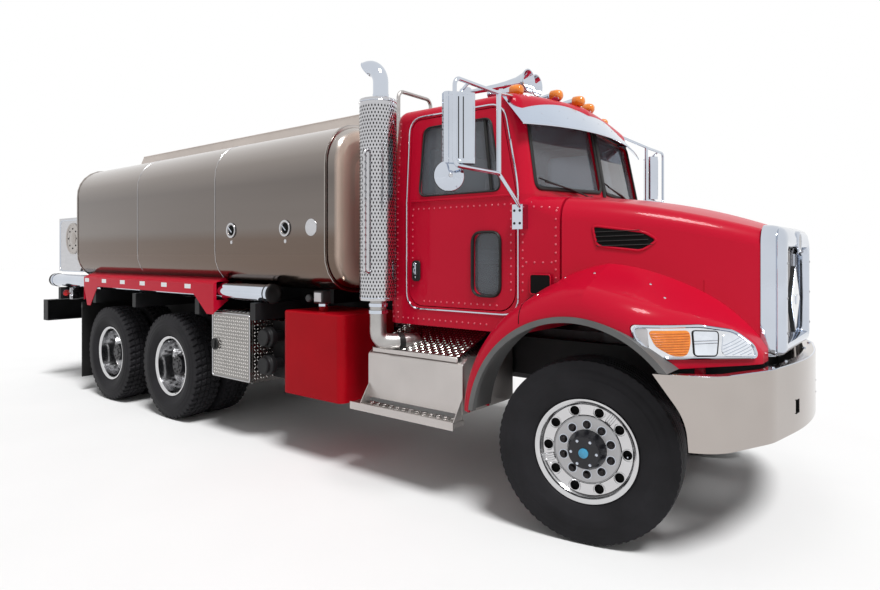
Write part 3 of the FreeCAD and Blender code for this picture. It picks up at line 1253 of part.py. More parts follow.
def cabinet_side_points(grow=0.0):
    x, z = CABINET, CABINET_Z
    return [(x[0] - grow, z[0] - grow, 0), (x[1] - 200, z[0] - grow, 0), (x[1], z[0] + 260, 0),
            (x[1], z[1] + grow, 0), (x[0] - grow, z[1] + grow, 0)]


def rear_cabinet(body):
    """Reel cabinet behind the tank, open to the rear, its lower front corner cut away."""
    s = CABINET_SHEET
    x, z = CABINET, CABINET_Z
    case = slab(cabinet_side_points(), "xz", -CABINET_HALF, CABINET_HALF)
    inside = slab([(x[0] - 60, z[0] + s, 0), (x[1] - 200 - s, z[0] + s, 0), (x[1] - s, z[0] + 262, 0),
                   (x[1] - s, z[1] - s, 0), (x[0] - 60, z[1] - s, 0)], "xz", -CABINET_HALF + s, CABINET_HALF - s)
    middle = slab(cabinet_side_points(), "xz", -4, 4)
    rims = [box((x[0], x[0] + 30), (side * (CABINET_HALF - 25) - 25, side * (CABINET_HALF - 25) + 25), z)
            for side in (RIGHT, LEFT)]
    shafts = [rod(V(REEL_X, side * 2, REEL_Z), V(REEL_X, side * (CABINET_HALF - 2), REEL_Z), 22)
              for side in (RIGHT, LEFT)]
    base = [box((x[0] + 40, TANK_REAR - 30), (side * 400 - 38, side * 400 + 38), (z[0] - CABINET_BASE, z[0] + 1))
            for side in (RIGHT, LEFT)]
    whole = fuse([case.cut(inside), middle] + rims + shafts + base)
    return whole.cut(body)


def hose_reel(side):
    """Bare reel: a drum between two dished flanges, turning on the cabinet's fixed shaft."""
    half, r = REEL_HALF, REEL_R
    profile = [(-half, 22 + RUN_FIT, 0), (-half, r, 4), (-half + 5, r, 2), (-half + 9, 110, 0),
               (half - 9, 110, 0), (half - 5, r, 2), (half, r, 4), (half, 22 + RUN_FIT, 0)]
    return turned(profile, V(REEL_X, side * REEL_Y, REEL_Z), V(0, side, 0))


def tail_lights():
    """Bright housings under the deck's corners, each with round lamps to the side and rear."""
    units = []
    for side in (RIGHT, LEFT):
        y = side * 1135
        house = slab([(-1170, 1085, 12), (-1075, 1085, 12), (-1075, HOSE_TUBE_Z - HOSE_TUBE_R - 1, 12),
                      (-1170, HOSE_TUBE_Z - HOSE_TUBE_R - 1, 12)], "xz", y - 40, y + 40)
        lamps = [Part.makeCylinder(30, 14, V(-1122, y + side * 38, z), V(0, side, 0)) for z in (1122, 1196)]
        bridge = box((-1300, -1160), sorted((side * 1100, side * 1170)), (1150, 1200))
        units.append(fuse([house, bridge] + lamps).cut(outrigger(OUTRIGGER_X[0])))
    return group(units)


def rear_bumper():
    """Black crossbeam behind the frame, with lamp panels bolted to its face."""
    low, high = FRAME_TOP - RAIL_DEPTH, FRAME_TOP
    beam = box((REAR_BAR_X, FRAME_REAR), (-BODY_HALF, BODY_HALF), (low, high))
    hollow = box((REAR_BAR_X + 8, FRAME_REAR + 1), (-BODY_HALF - 1, BODY_HALF + 1), (low + 8, high - 8))
    plates = [box((REAR_BAR_X, FRAME_REAR), (y - 5, y + 5), (low, high)) for y in (-1195, -432, 432, 1195)]
    return fuse([beam.cut(hollow)] + plates)


def mud_flaps():
    """Rubber flap behind each rear twin, hung from its bracket on the rail."""
    flaps = []
    for side in (RIGHT, LEFT):
        ys = sorted((side * 600, side * 1215))
        flap = box((-712, -700), ys, (175, 1070))
        bar = box((-720, -692), sorted((side * (FRAME_HALF + 0.2), side * 1215)), (1003, FRAME_TOP - 1.5))
        flaps.append(fuse([flap, bar]))
    return group(flaps)


# ---- everything by name ------------------------------------------------------------------------------------------
def build():
    nodes = {}
    outer, inner = cab_body(0), cab_body(CAB_WALL)
    glass_skin = cab_body(20).cut(cab_body(20 + GLASS))
    body = tank_body()
    nodes["chassis_frame"] = chassis_frame()
    nodes["front_axle"] = front_axle()
    nodes["leaf_springs"] = leaf_springs()
    nodes["drive_axles"] = drive_axles()
    nodes["rear_suspension"] = rear_suspension()
    nodes["engine"] = engine()
    nodes["front_bumper"] = front_bumper()
    nodes["cab_shell"] = cab_shell(outer, inner)
    nodes["cab_glass"] = cab_glass(glass_skin)
    nodes["cab_seats"] = cab_seats()
    nodes["dashboard"] = dashboard(cab_body(CAB_WALL + 1))
    nodes["sun_visor"] = sun_visor(outer)
    nodes["roof_lights"] = roof_lights(outer)
    nodes["air_horns"] = air_horns(outer)
    nodes["exhaust_stack"] = exhaust_stack(outer)
    nodes["muffler_guard"] = muffler_guard()
    nodes["mirrors"] = group([mirror(side, outer) for side, _ in SIDES])
    nodes["step_box"] = step_box()
    nodes["fuel_tank"] = fuel_tank()
    nodes["side_tank"] = side_tank()
    nodes["toolbox"] = toolbox()
    nodes["toolbox_door"] = toolbox_door()
    nodes["loading_couplings"] = loading_couplings()
    nodes["tank"] = tank()
    nodes["spill_dam"] = spill_dam(body)
    nodes["tank_ladder"] = tank_ladder(body)
    nodes["rear_fenders"] = group([rear_fender(side, body) for side, _ in SIDES])
    nodes["hose_tubes"] = group([hose_tube(side) for side, _ in SIDES])
    nodes["rear_cabinet"] = rear_cabinet(body)
    nodes["tail_lights"] = tail_lights()
    nodes["rear_bumper"] = rear_bumper()
    nodes["mud_flaps"] = mud_flaps()
    nodes["hood"] = fuse([hood_parts()] + hood_arms())
    nodes["grille_surround"] = grille_surround()
    nodes["grille_mesh"] = grille_mesh()
    nodes["headlights"] = headlights()
    nodes["fender_flares"] = fender_flares()
    nodes["tie_rod"] = tie_rod()
    for name, x in MANHOLES:
        nodes["manhole_lid_" + name] = manhole_lid(x)
    for side, word in SIDES:
        nodes["door_" + word] = door(side, outer, inner)
        nodes["door_glass_" + word] = door_glass(side, glass_skin)
        nodes["knuckle_" + word] = knuckle(side)
        nodes["front_tyre_" + word], nodes["front_rim_" + word] = front_wheel(side)
        nodes["hose_reel_" + word] = hose_reel(side)
        for place, x in (("rear", 0.0), ("mid", TANDEM)):
            tyres, rims = dual_set(x, side)
            nodes[place + "_tyres_" + word] = tyres
            nodes[place + "_rims_" + word] = rims
    return nodes


def main():
    os.makedirs("parts", exist_ok=True)
    middle = (BUMPER_FRONT + REAR_BAR_X) / 2
    for name, shape in build().items():
        shape.translate(V(-middle, 0, 0))
        shape.exportStep("parts/" + name + ".step")
        solids = len(shape.Solids)
        print(f"{name:20s} solids {solids}  faces {len(shape.Faces)}  litres {shape.Volume / 1e6:.1f}")


main()
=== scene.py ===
# %% [markdown]
# # Tanker truck
# The truck's frame, cab, hood, tank and wheels come from the imported CAD part. This lesson adds what a
# coachbuilder would add last: paint, polish, rubber, rivets, trim, lamps and tyres. First the frame is
# loaded.

# %% Load the frame
import json
import math

import bmesh
import bpy
from mathutils import Matrix, Vector
from mathutils.bvhtree import BVHTree


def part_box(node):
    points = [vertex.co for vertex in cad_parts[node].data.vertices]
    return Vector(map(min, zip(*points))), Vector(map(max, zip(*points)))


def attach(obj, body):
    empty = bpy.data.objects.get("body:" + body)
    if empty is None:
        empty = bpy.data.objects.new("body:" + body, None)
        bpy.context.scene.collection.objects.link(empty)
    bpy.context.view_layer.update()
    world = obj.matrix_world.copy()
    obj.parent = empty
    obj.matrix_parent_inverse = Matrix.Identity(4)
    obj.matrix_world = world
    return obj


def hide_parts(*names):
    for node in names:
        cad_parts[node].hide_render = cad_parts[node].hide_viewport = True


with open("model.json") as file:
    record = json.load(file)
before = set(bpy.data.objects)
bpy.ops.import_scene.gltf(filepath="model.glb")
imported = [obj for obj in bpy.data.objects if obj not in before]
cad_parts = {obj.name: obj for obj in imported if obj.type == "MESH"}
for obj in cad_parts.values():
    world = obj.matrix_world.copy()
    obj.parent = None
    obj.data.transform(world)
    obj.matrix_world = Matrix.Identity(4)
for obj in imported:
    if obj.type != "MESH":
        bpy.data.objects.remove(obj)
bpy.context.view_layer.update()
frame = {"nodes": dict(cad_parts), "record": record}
nodes = frame["nodes"]
subparts = frame["record"]["subparts"]
joints = {joint["name"]: joint for joint in frame["record"]["behaviour"]["joints"]}

# %% [markdown]
# ## Where things are
# A coachbuilder measures a truck forward from its rearmost axle, so this lesson does too: `row` turns such a
# place into the part's own frame, whose middle lies 2.4 m ahead of that axle. Most fittings come in pairs,
# and a side is -1 on the truck's right and 1 on its left.

# %% Places and directions
SHIFT = -2.400
SIDES = (("right", -1), ("left", 1))
AHEAD, BACK, UP = Vector((1, 0, 0)), Vector((-1, 0, 0)), Vector((0, 0, 1))
OUT_RIGHT = Vector((0, -1, 0))


def row(x, y, z):
    """Point in the part's frame from one measured forward of the rearmost axle."""
    return Vector((x + SHIFT, y, z))


def outward(side):
    """Straight out to a side."""
    return Vector((0, side, 0))


print("rearmost axle at", [round(v, 3) for v in row(0, 0, 0)])

# %% [markdown]
# ## Camera
# The viewer stands a few metres off the right front corner, eyes level, so the camera isn't tipped and the
# truck's upright edges stay upright. A small shift frames the wheels without tipping it.

# %% Camera
EYE = row(7.3287, -4.4024, 1.6547)
AIM = math.radians(90) - 0.8994  # turned from looking across the truck to looking along it
LENS, FILM_WIDTH = 25.485, 36  # millimetres
FRAME_SHIFT = -0.0471  # share of the width by which the view is lowered
camera_data = bpy.data.cameras.new("camera")
camera_data.lens = LENS
camera_data.sensor_width = FILM_WIDTH
camera_data.shift_y = FRAME_SHIFT
camera_data.clip_end = 200
camera = bpy.data.objects.new("camera", camera_data)
camera.location = EYE
camera.rotation_euler = (math.radians(90), 0, AIM)
bpy.context.scene.collection.objects.link(camera)
bpy.context.scene.camera = camera
print("camera", [round(v, 3) for v in camera.location])

# %% [markdown]
# ## Wiring a material
# A material is a small network of nodes. Adding nodes by hand takes four lines each time, so four helpers do
# it: one adds a node with its values set, one joins two nodes, and two make the nodes used most often, a
# ramp of colours and a value carried from one span to another.

# %% Wiring a material
def add(tree, kind, **values):
    """New node of a kind, with values put on its own sockets."""
    node = tree.nodes.new(f"ShaderNode{kind}")
    for name, value in values.items():
        node.inputs[name].default_value = value
    return node


def join(tree, source, output, target, entry):
    tree.links.new(source.outputs[output], target.inputs[entry])


def ramp(tree, *stops):
    """Colour ramp from (place, colour) stops, first to last."""
    node = add(tree, "ValToRGB")
    first, last = node.color_ramp.elements
    for stop, (place, color) in ((first, stops[0]), (last, stops[-1])):
        stop.position = place
        stop.color = (*color, 1)
    for place, color in stops[1:-1]:
        node.color_ramp.elements.new(place).color = (*color, 1)
    return node


def carried(tree, source, output, span, onto=(0.0, 1.0)):
    """One of a node's outputs, carried from a span onto another."""
    node = add(tree, "MapRange", **{"From Min": span[0], "From Max": span[1], "To Min": onto[0],
                                    "To Max": onto[1]})
    join(tree, source, output, node, "Value")
    return node


print("wiring helpers ready")

# %% [markdown]
# ## One recipe for every finish
# Real surfaces are never one colour: paint has faint waves and metal has grain.
# Each finish here is a Principled shader whose colour and roughness drift with a noise, and whose normal is
# rippled by a finer one. A shared recipe, not a network for each surface, keeps some forty finishes alike.

# %% A recipe for finishes
COAT_ROUGH = 0.04  # a clear coat is nearly smooth
GRAIN_DEPTH = 0.002  # metres


def shader_of(material):
    return material.node_tree.nodes["Principled BSDF"]


def finish(name, color, metal=0.0, rough=0.4, coat=0.0, drift=0.08, drift_size=2.0, grain=0.15,
           grain_size=60.0, stretch=(1, 1, 1), rough_drift=0.06, sheen=0.0, gloss=0.5):
    """Principled material with drifting colour, drifting roughness and a fine grain in its normal."""
    material = bpy.data.materials.new(name)
    material.use_nodes = True
    tree = material.node_tree
    shader = shader_of(material)
    for entry, value in (("Metallic", metal), ("Specular IOR Level", gloss), ("Sheen Weight", sheen),
                         ("Coat Weight", coat), ("Coat Roughness", COAT_ROUGH)):
        shader.inputs[entry].default_value = value
    turn = add(tree, "Mapping", Scale=stretch)
    join(tree, add(tree, "TexCoord"), "Object", turn, "Vector")
    cloud = add(tree, "TexNoise", Scale=drift_size, Detail=4)
    join(tree, turn, "Vector", cloud, "Vector")
    dark, pale = [c * (1 - drift) for c in color], [min(c * (1 + drift), 1) for c in color]
    tint = ramp(tree, (0.3, dark), (0.7, pale))
    join(tree, cloud, "Fac", tint, "Fac")
    join(tree, tint, "Color", shader, "Base Color")
    wear = carried(tree, cloud, "Fac", (0, 1), (max(rough - rough_drift, 0.02), rough + rough_drift))
    join(tree, wear, "Result", shader, "Roughness")
    fine = add(tree, "TexNoise", Scale=grain_size, Detail=3)
    join(tree, turn, "Vector", fine, "Vector")
    bump = add(tree, "Bump", Strength=grain, Distance=GRAIN_DEPTH)
    join(tree, fine, "Fac", bump, "Height")
    join(tree, bump, "Normal", shader, "Normal")
    return material


print("grain depth", GRAIN_DEPTH)

# %% [markdown]
# ## Paint, cloth and plastic
# The cab wears a deep clear-coated red: a slightly rough base under a thin coat gives both the soft glow and
# the sharp highlight. A glossier base alone would look like wet plastic. The reservoir's red is older and
# darker, and the chassis black is dull. `looks` keeps each finish under the name of the slot that it fills.

# %% Paint, cloth and plastic
looks = {
    "red_paint": finish("cab_red", (0.50, 0.005, 0.026), rough=0.30, coat=0.15, drift=0.05, drift_size=0.8,
                        grain=0.02, grain_size=220.0, gloss=0.05),
    "red_tank_paint": finish("reservoir_red", (0.36, 0.002, 0.008), coat=0.06, drift=0.06, drift_size=3.0,
                             grain=0.03, grain_size=160.0, gloss=0.04),
    "black_paint": finish("chassis_black", (0.010, 0.010, 0.011), rough=0.5, drift=0.3, drift_size=5.0,
                          grain_size=90.0, gloss=0.25),
    "seat_fabric": finish("seat_cloth", (0.05, 0.05, 0.055), rough=0.85, drift=0.25, drift_size=60.0,
                          grain=0.8, grain_size=500.0, sheen=0.4),
    "dash_plastic": finish("dash_plastic", (0.04, 0.04, 0.043), rough=0.6, drift=0.1, drift_size=10.0,
                           grain=0.5, grain_size=300.0),
}
print("painted finishes", list(looks))

# %% [markdown]
# ## Bright metals and castings
# Chrome is left for small trim, because big chromed faces would be mirrors of an empty studio. The aluminium
# and the stainless steel are rougher and warmer, and a stretched grain stands for the strokes of brushing.
# Cast iron is half metal, half scale.

# %% Bright metals and castings
looks |= {
    "chrome": finish("chrome", (0.56, 0.60, 0.67), metal=1.0, rough=0.06, drift=0.04, drift_size=4.0,
                     grain=0.01, grain_size=30.0, rough_drift=0.03),
    "polished_aluminium": finish("polished_aluminium", (0.40, 0.37, 0.35), metal=1.0, rough=0.2, drift=0.06,
                                 drift_size=1.5, grain=0.05, grain_size=80.0),
    "brushed_aluminium": finish("brushed_aluminium", (0.44, 0.42, 0.41), metal=1.0, rough=0.34,
                                drift_size=3.0, grain=0.2, grain_size=40.0, stretch=(1, 1, 12)),
    "stainless": finish("stainless", (0.52, 0.52, 0.54), metal=1.0, rough=0.2, drift=0.05, drift_size=4.0,
                        grain=0.1, stretch=(1, 1, 6)),
    "cast": finish("cast_iron", (0.10, 0.10, 0.105), metal=0.6, rough=0.55, drift=0.2, drift_size=12.0,
                   grain=0.6, grain_size=140.0),
}
print("finishes so far", len(looks))

# %% [markdown]
# ## Rubber, amber and glass
# Rubber is nearly black but never quite, and tyres are duller than seals. Amber lenses are coloured plastic
# with a gloss over it. The cab's glass is thin and lightly tinted: a transmission shader shows the seats
# behind it and still picks up the sky.

# %% Rubber, amber and glass
looks |= {
    "tyre": finish("tyre_rubber", (0.012, 0.0115, 0.0135), rough=0.66, drift=0.3, drift_size=6.0, grain=0.35,
                   grain_size=160.0, gloss=0.18),
    "rubber": finish("black_rubber", (0.012, 0.012, 0.012), rough=0.5, drift=0.2, drift_size=8.0, grain=0.3,
                     grain_size=120.0, gloss=0.3),
    "grey_rubber": finish("grey_rubber", (0.12, 0.12, 0.12), rough=0.5, drift=0.12, drift_size=6.0,
                          grain=0.25, grain_size=110.0, gloss=0.3),
    "amber": finish("amber_lens", (0.80, 0.24, 0.02), rough=0.18, coat=0.5, drift=0.14, drift_size=30.0,
                    grain=0.3, grain_size=90.0, gloss=0.3),
    "glass": finish("cab_glass", (0.30, 0.33, 0.37), rough=0.02, drift=0.03, grain=0.02, grain_size=30.0,
                    rough_drift=0.01),
    "lamp": finish("lamp_bezel", (0.72, 0.74, 0.77), metal=1.0, rough=0.12, drift=0.04, drift_size=20.0,
                   grain=0.05),
}
shader_of(looks["glass"]).inputs["Transmission Weight"].default_value = 0.75
shader_of(looks["glass"]).inputs["IOR"].default_value = 1.35
deep_black = finish("deep_black", (0.004, 0.004, 0.004), rough=0.7, drift=0.2, drift_size=20.0, grain=0.1,
                    grain_size=100.0, gloss=0.1)
print("finishes for slots", len(looks))

# %% [markdown]
# ## The tank's skin
# The tank is polished plate. Its colour carries a painted reflection: darker and warmer low down and bright
# on its shoulders, as a mirror of the ground below and the sky above would be. Its front head is brushed, so
# it looks paler and less like metal. One plain metal would flatten it; instead the same recipe is multiplied
# by a ramp of painted reflection up the sides, and a second ramp along the truck turns the head pale.

# %% The tank's skin
REFLECTION_HEIGHTS = (1.50, 2.75)  # the painted reflection runs from dark to none between these heights
# tones of the painted reflection, from the tank's low side up to its shoulders
PAINTED_REFLECTION_TONES = ((0.0, (0.245, 0.190, 0.160)), (0.22, (0.24, 0.195, 0.17)), (0.30, (0.30, 0.28, 0.27)),
              (0.60, (0.27, 0.255, 0.25)), (0.74, (0.40, 0.38, 0.37)), (1.0, (1, 1, 1)))
HEAD_SPAN = (1.340, 1.366)  # the brushed front head starts here, along the truck
HEAD_TONE = (0.52, 0.40, 0.33, 1)


def mixed(tree, blend, first, first_output, second, second_output):
    """Two colours mixed, wholly unless a Factor is joined later."""
    node = add(tree, "Mix")
    node.data_type = "RGBA"
    node.blend_type = blend
    node.inputs["Factor"].default_value = 1.0
    join(tree, first, first_output, node, "A")
    if second:
        join(tree, second, second_output, node, "B")
    return node


def tank_skin():
    material = finish("tank_plate", (0.62, 0.58, 0.55), metal=1.0, rough=0.16, drift=0.06, drift_size=0.9,
                      grain=0.03, grain_size=50.0, stretch=(0.25, 1, 3))
    tree, shader = material.node_tree, shader_of(material)
    plate = shader.inputs["Base Color"].links[0].from_node
    place = add(tree, "SeparateXYZ")
    join(tree, add(tree, "TexCoord"), "Object", place, "Vector")
    # painted reflection: darker and warmer low on the tank, none at its shoulders
    painted_reflection = ramp(tree, *PAINTED_REFLECTION_TONES)
    join(tree, carried(tree, place, "Z", REFLECTION_HEIGHTS), "Result", painted_reflection, "Fac")
    plate_with_reflection = mixed(tree, "MULTIPLY", plate, "Color", painted_reflection, "Color")
    head = mixed(tree, "MIX", plate_with_reflection, "Result", None, None)
    head.inputs["B"].default_value = HEAD_TONE
    join(tree, carried(tree, place, "X", HEAD_SPAN), "Result", head, "Factor")
    join(tree, head, "Result", shader, "Base Color")
    join(tree, carried(tree, place, "X", HEAD_SPAN, (1.0, 0.25)), "Result", shader, "Metallic")
    return material


tank_plate = tank_skin()
print("tank plate nodes", len(tank_plate.node_tree.nodes))

# %% [markdown]
# ## Finishes on the CAD parts
# The record names a slot for each node, so most nodes just take their slot's finish. A few are told apart one
# by one, because two nodes share a slot and look different on the real truck: the bumper, the visor, the
# tread plate, the spill dam and the polished wheels each get a metal of their own.

# %% Finishes on the CAD parts
bumper_steel = finish("bumper_steel", (0.44, 0.40, 0.375), metal=1.0, rough=0.14, drift_size=1.2, grain=0.04)
visor_steel = finish("visor_steel", (0.50, 0.57, 0.68), metal=1.0, rough=0.12, drift=0.04, grain=0.03)
wheel_polish = finish("wheel_polish", (0.60, 0.60, 0.61), metal=1.0, rough=0.13, drift=0.05, drift_size=5.0,
                      grain=0.04)
dam_paint = finish("dam_sheet", (0.60, 0.54, 0.50), metal=0.25, rough=0.45, drift=0.06, grain=0.1)
tread_metal = finish("tread_plate", (0.27, 0.26, 0.25), metal=1.0, rough=0.24, drift_size=6.0, grain=0.12,
                     grain_size=90.0)
step_metal = finish("step_sheet", (0.50, 0.47, 0.455), metal=1.0, rough=0.32, drift=0.06, drift_size=3.0,
                    grain=0.12, grain_size=90.0)
# The CAD grille mesh behind the wires is deep black: painted shade of the bay behind the grille.
own_look = {"front_bumper": bumper_steel, "sun_visor": visor_steel, "spill_dam": dam_paint,
            "toolbox": tread_metal, "toolbox_door": tread_metal, "step_box": step_metal,
            "roof_lights": looks["chrome"], "hose_tubes": looks["chrome"], "grille_mesh": deep_black,
            "loading_couplings": looks["black_paint"], "tank": tank_plate}
for part in subparts:
    name = part["node"]
    if "_rim_" in name or "_rims_" in name:
        own_look[name] = wheel_polish
    skin_of_node = nodes[name].data.materials
    skin_of_node.clear()
    skin_of_node.append(own_look.get(name, looks[part["material_slot"]]))
print("finished nodes", len(subparts), "told apart by hand", len(own_look))

# %% [markdown]
# ## From corners and faces to a piece
# Rivets, trim and bolts repeat by the hundred. A mesh object for each would be slow, and a modifier stack
# would hide what is made. So every shape here is a list of corners and a list of faces, and one call turns a
# pile of shapes into a single mesh that rides on a body, wears a finish and turns with its joint.

# %% From corners and faces to a piece
SHARP = math.radians(38)  # edges that turn more than this stay crisp


def pile(shapes):
    """Several (corners, faces) shapes as one."""
    corners, faces = [], []
    for some_corners, some_faces in shapes:
        start = len(corners)
        corners += some_corners
        faces += [[start + i for i in face] for face in some_faces]
    return corners, faces


def piece(name, shapes, body, look, slot=None, smooth=True, replaces=()):
    """One mesh object from shapes, riding on a body; look is a finish or its name in looks; slot is not used.
    """
    if isinstance(look, str):
        look, slot = looks[look], look
    corners, faces = pile(shapes)
    mesh = bpy.data.meshes.new(name)
    mesh.from_pydata([tuple(c) for c in corners], [], faces)
    work = bmesh.new()
    work.from_mesh(mesh)
    bmesh.ops.recalc_face_normals(work, faces=work.faces)
    work.to_mesh(mesh)
    work.free()
    if smooth:
        mesh.shade_smooth()
        mesh.set_sharp_from_angle(angle=SHARP)
    mesh.materials.append(look)
    thing = bpy.data.objects.new(name, mesh)
    bpy.context.scene.collection.objects.link(thing)
    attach(thing, body)
    if replaces:
        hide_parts(*replaces)
    return thing


print("crisp above", round(math.degrees(SHARP)), "degrees")

# %% [markdown]
# ## Turned shapes
# Lenses, caps, nuts and pipes are round, so they come off a lathe: a short profile of places along an axis
# and radii, spun into rings of corners. The same ring of points also sets out bolts on a circle.

# %% Turned shapes
def across(axis):
    """Two directions square to an axis."""
    axis = axis.normalized()
    helper = UP if abs(axis.z) < 0.9 else AHEAD
    u = helper.cross(axis).normalized()
    return u, axis.cross(u)


def circle(centre, axis, radius, count, phase=0.0):
    """Points round an axis; phase is a share of the step between two."""
    u, v = across(axis)
    turns = [2 * math.pi * (i + phase) / count for i in range(count)]
    return [centre + (u * math.cos(turn) + v * math.sin(turn)) * radius for turn in turns]


def lathe(profile, centre, axis, segments=32):
    """Turned shape from (along, radius) points; a zero radius closes to a point."""
    axis = axis.normalized()
    corners, rings, faces = [], [], []
    for along, radius in profile:
        new = circle(centre + axis * along, axis, radius, segments if radius > 0 else 1)
        rings.append(list(range(len(corners), len(corners) + len(new))))
        corners += new
    for low, high in zip(rings, rings[1:]):
        for i in range(segments):
            j = (i + 1) % segments
            face = [low[i % len(low)], low[j % len(low)], high[j % len(high)], high[i % len(high)]]
            face = [k for n, k in enumerate(face) if k not in face[:n]]
            if len(face) > 2:
                faces.append(face)
    return corners, faces


print("a cone has", len(lathe(((0, 0.01), (0.01, 0)), Vector(), UP, 12)[0]), "corners")

# %% [markdown]
# ## Beads that follow a run
# Trim, rubber and wire are all round beads along a run of points. `eased` turns a run's corners as arcs, so a
# frame needs only four points, `spread` divides long stretches so that a bead can follow a curved panel, and
# `tube` sweeps the bead, carrying its first direction along so that it never twists.

# %% Beads that follow a run
def eased(points, radius, steps=5, closed=False):
    """The same run with each corner turned as an arc."""
    count = len(points)
    run = []
    for i, here in enumerate(points):
        if not closed and i in (0, count - 1):
            run.append(here)
            continue
        back = points[i - 1] - here
        ahead = points[(i + 1) % count] - here
        reach = min(radius, back.length * 0.48, ahead.length * 0.48)
        start, end = here + back.normalized() * reach, here + ahead.normalized() * reach
        for k in range(steps + 1):
            t = k / steps
            run.append(start.lerp(here, t).lerp(here.lerp(end, t), t))
    return run


def spread(run, step=0.03, closed=False):
    """The same run with long stretches divided."""
    count = len(run)
    out = []
    for i in range(count if closed else count - 1):
        here, ahead = run[i], run[(i + 1) % count]
        parts = max(int((ahead - here).length / step), 1)
        out += [here.lerp(ahead, k / parts) for k in range(parts)]
    return out if closed else out + [run[-1]]


def tube(points, radius, sides=10, closed=False, flat=1.0):
    """Round bead along points; flat squashes it towards its second direction."""
    count = len(points)
    corners, faces = [], []
    u = None
    for i, here in enumerate(points):
        back = points[i - 1] if (i or closed) else here
        ahead = points[(i + 1) % count] if (i < count - 1 or closed) else here
        way = (ahead - back).normalized()
        if u is None:
            u, _ = across(way)
        u = (u - way * u.dot(way)).normalized()
        v = way.cross(u)
        for k in range(sides):
            angle = 2 * math.pi * k / sides
            corners.append(here + (u * math.cos(angle) + v * math.sin(angle) * flat) * radius)
    for i in range(count if closed else count - 1):
        j = (i + 1) % count
        for k in range(sides):
            n = (k + 1) % sides
            faces.append([i * sides + k, i * sides + n, j * sides + n, j * sides + k])
    if not closed:
        faces.append(list(range(sides))[::-1])
        faces.append(list(range((count - 1) * sides, count * sides)))
    return corners, faces


def rounded(middle, wide, tall, ease=0.02, steps=4):
    """Run round a rectangle with eased corners; wide and tall reach from its middle to its edges."""
    corners = [middle + wide * w + tall * t for w, t in ((-1, -1), (1, -1), (1, 1), (-1, 1))]
    return eased(corners, ease, steps, True)


print("a rounded frame has", len(rounded(Vector(), AHEAD, UP)), "points")

# %% [markdown]
# ## Blocks and fixings
# Real blocks never have sharp edges, so `block` always cuts a small chamfer, which catches the light. Rivets
# are low domes of a few faces. Bolts are hexagons over a washer.

# %% Blocks and fixings
def block(low, high, edge=0.003):
    """Box between two corners with its edges chamfered."""
    low, high = Vector(low), Vector(high)
    middle, half = (low + high) / 2, (high - low) / 2
    edge = min(edge, *[abs(h) * 0.45 for h in half])
    work = bmesh.new()
    bmesh.ops.create_cube(work, size=2)
    for corner in work.verts:
        corner.co = middle + Vector([c * h for c, h in zip(corner.co, half)])
    bmesh.ops.bevel(work, geom=work.edges[:], offset=edge, segments=1, affect="EDGES")
    return taken_from(work)


def taken_from(work):
    """Corners and faces of a working mesh, which is then let go."""
    work.verts.index_update()
    shape = [v.co.copy() for v in work.verts], [[v.index for v in f.verts] for f in work.faces]
    work.free()
    return shape


def side_block(side, span_x, span_y, span_z, edge=0.003):
    """Block on one side of the truck, from spans along it, outward and up."""
    low_y, high_y = sorted((side * span_y[0], side * span_y[1]))
    return block(row(span_x[0], low_y, span_z[0]), row(span_x[1], high_y, span_z[1]), edge)


def rivet(place, out, radius=0.006, height=0.0028, sides=8):
    """Low domed rivet head standing off a skin."""
    dome = ((-0.0008, radius), (height * 0.55, radius * 0.82), (height * 0.92, radius * 0.42), (height, 0))
    return lathe(dome, place, out, sides)


def bolt(place, out, radius=0.009, height=0.007):
    """Hexagon head with a washer under it."""
    washer = lathe(((0, radius * 1.35), (0.0016, radius * 1.3), (0.0016, 0)), place, out, 12)
    cap = ((0.001, radius), (height * 0.85, radius), (height, radius * 0.82), (height, 0))
    return pile([washer, lathe(cap, place, out, 6)])


print("a bolt has", len(bolt(Vector(), UP)[1]), "faces")

# %% [markdown]
# ## Finding the skin
# Trim has to lie on panels that curve. Rather than repeat their shape, a ray is dropped on the CAD part and
# the trim takes the place and the direction found there.

# %% Finding the skin
skins = {}
HAIR = Vector((1e-5, 1e-5, 1e-5))  # a second ray, this far aside, gets past a crack between two faces


def skin(node, start, direction):
    """Where a ray meets a CAD node: (place, outward direction), or two Nones."""
    if node not in skins:
        skins[node] = BVHTree.FromObject(nodes[node], bpy.context.evaluated_depsgraph_get())
    for begin in (start, start + HAIR):
        place, normal, _, _ = skins[node].ray_cast(begin, direction.normalized())
        if place is not None:
            return place, (normal if normal.dot(direction) < 0 else -normal)
    return None, None


def skin_beside(node, x, z, side):
    """The same, looking in from a side at a place along the truck and a height."""
    return skin(node, row(x, side * 2.0, z), -outward(side))


hood_top, _ = skin("hood", row(6.0, 0, 3), -UP)
print("hood top at", round(hood_top.z, 3))

# %% [markdown]
# ## A tyre's section
# A tyre is a turned band, but a plain lathe can't cut tread. So the band is made ring by ring, and a function
# gives the tread's radius at each place across it and round it. The sidewall is a short run of points: the
# bead, the rim guard, the raised bands and the shoulder.

# %% A tyre's section
TYRE_LOW, TYRE_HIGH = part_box("rear_tyres_right")
TYRE_R = (TYRE_HIGH.z - TYRE_LOW.z) / 2
SIDEWALL = ((0.0985, 0.2895), (0.103, 0.3015), (0.112, 0.306), (0.1165, 0.312), (0.1185, 0.3125),
            (0.131, 0.334), (0.1405, 0.362), (0.1438, 0.372), (0.1448, 0.374), (0.1450, 0.395),
            (0.1448, 0.418), (0.1436, 0.4195), (0.1425, 0.440), (0.1388, 0.466), (0.1372, 0.468),
            (0.1365, 0.480))
INSIDE = [(0.085, 0.289), (-0.085, 0.289)]
TREAD_EDGE = 0.127
CROWN_DROP = 0.007  # how much lower the tread is at its edge
TREAD_SKIN = 0.0008  # the tread stays this far inside the CAD tyre


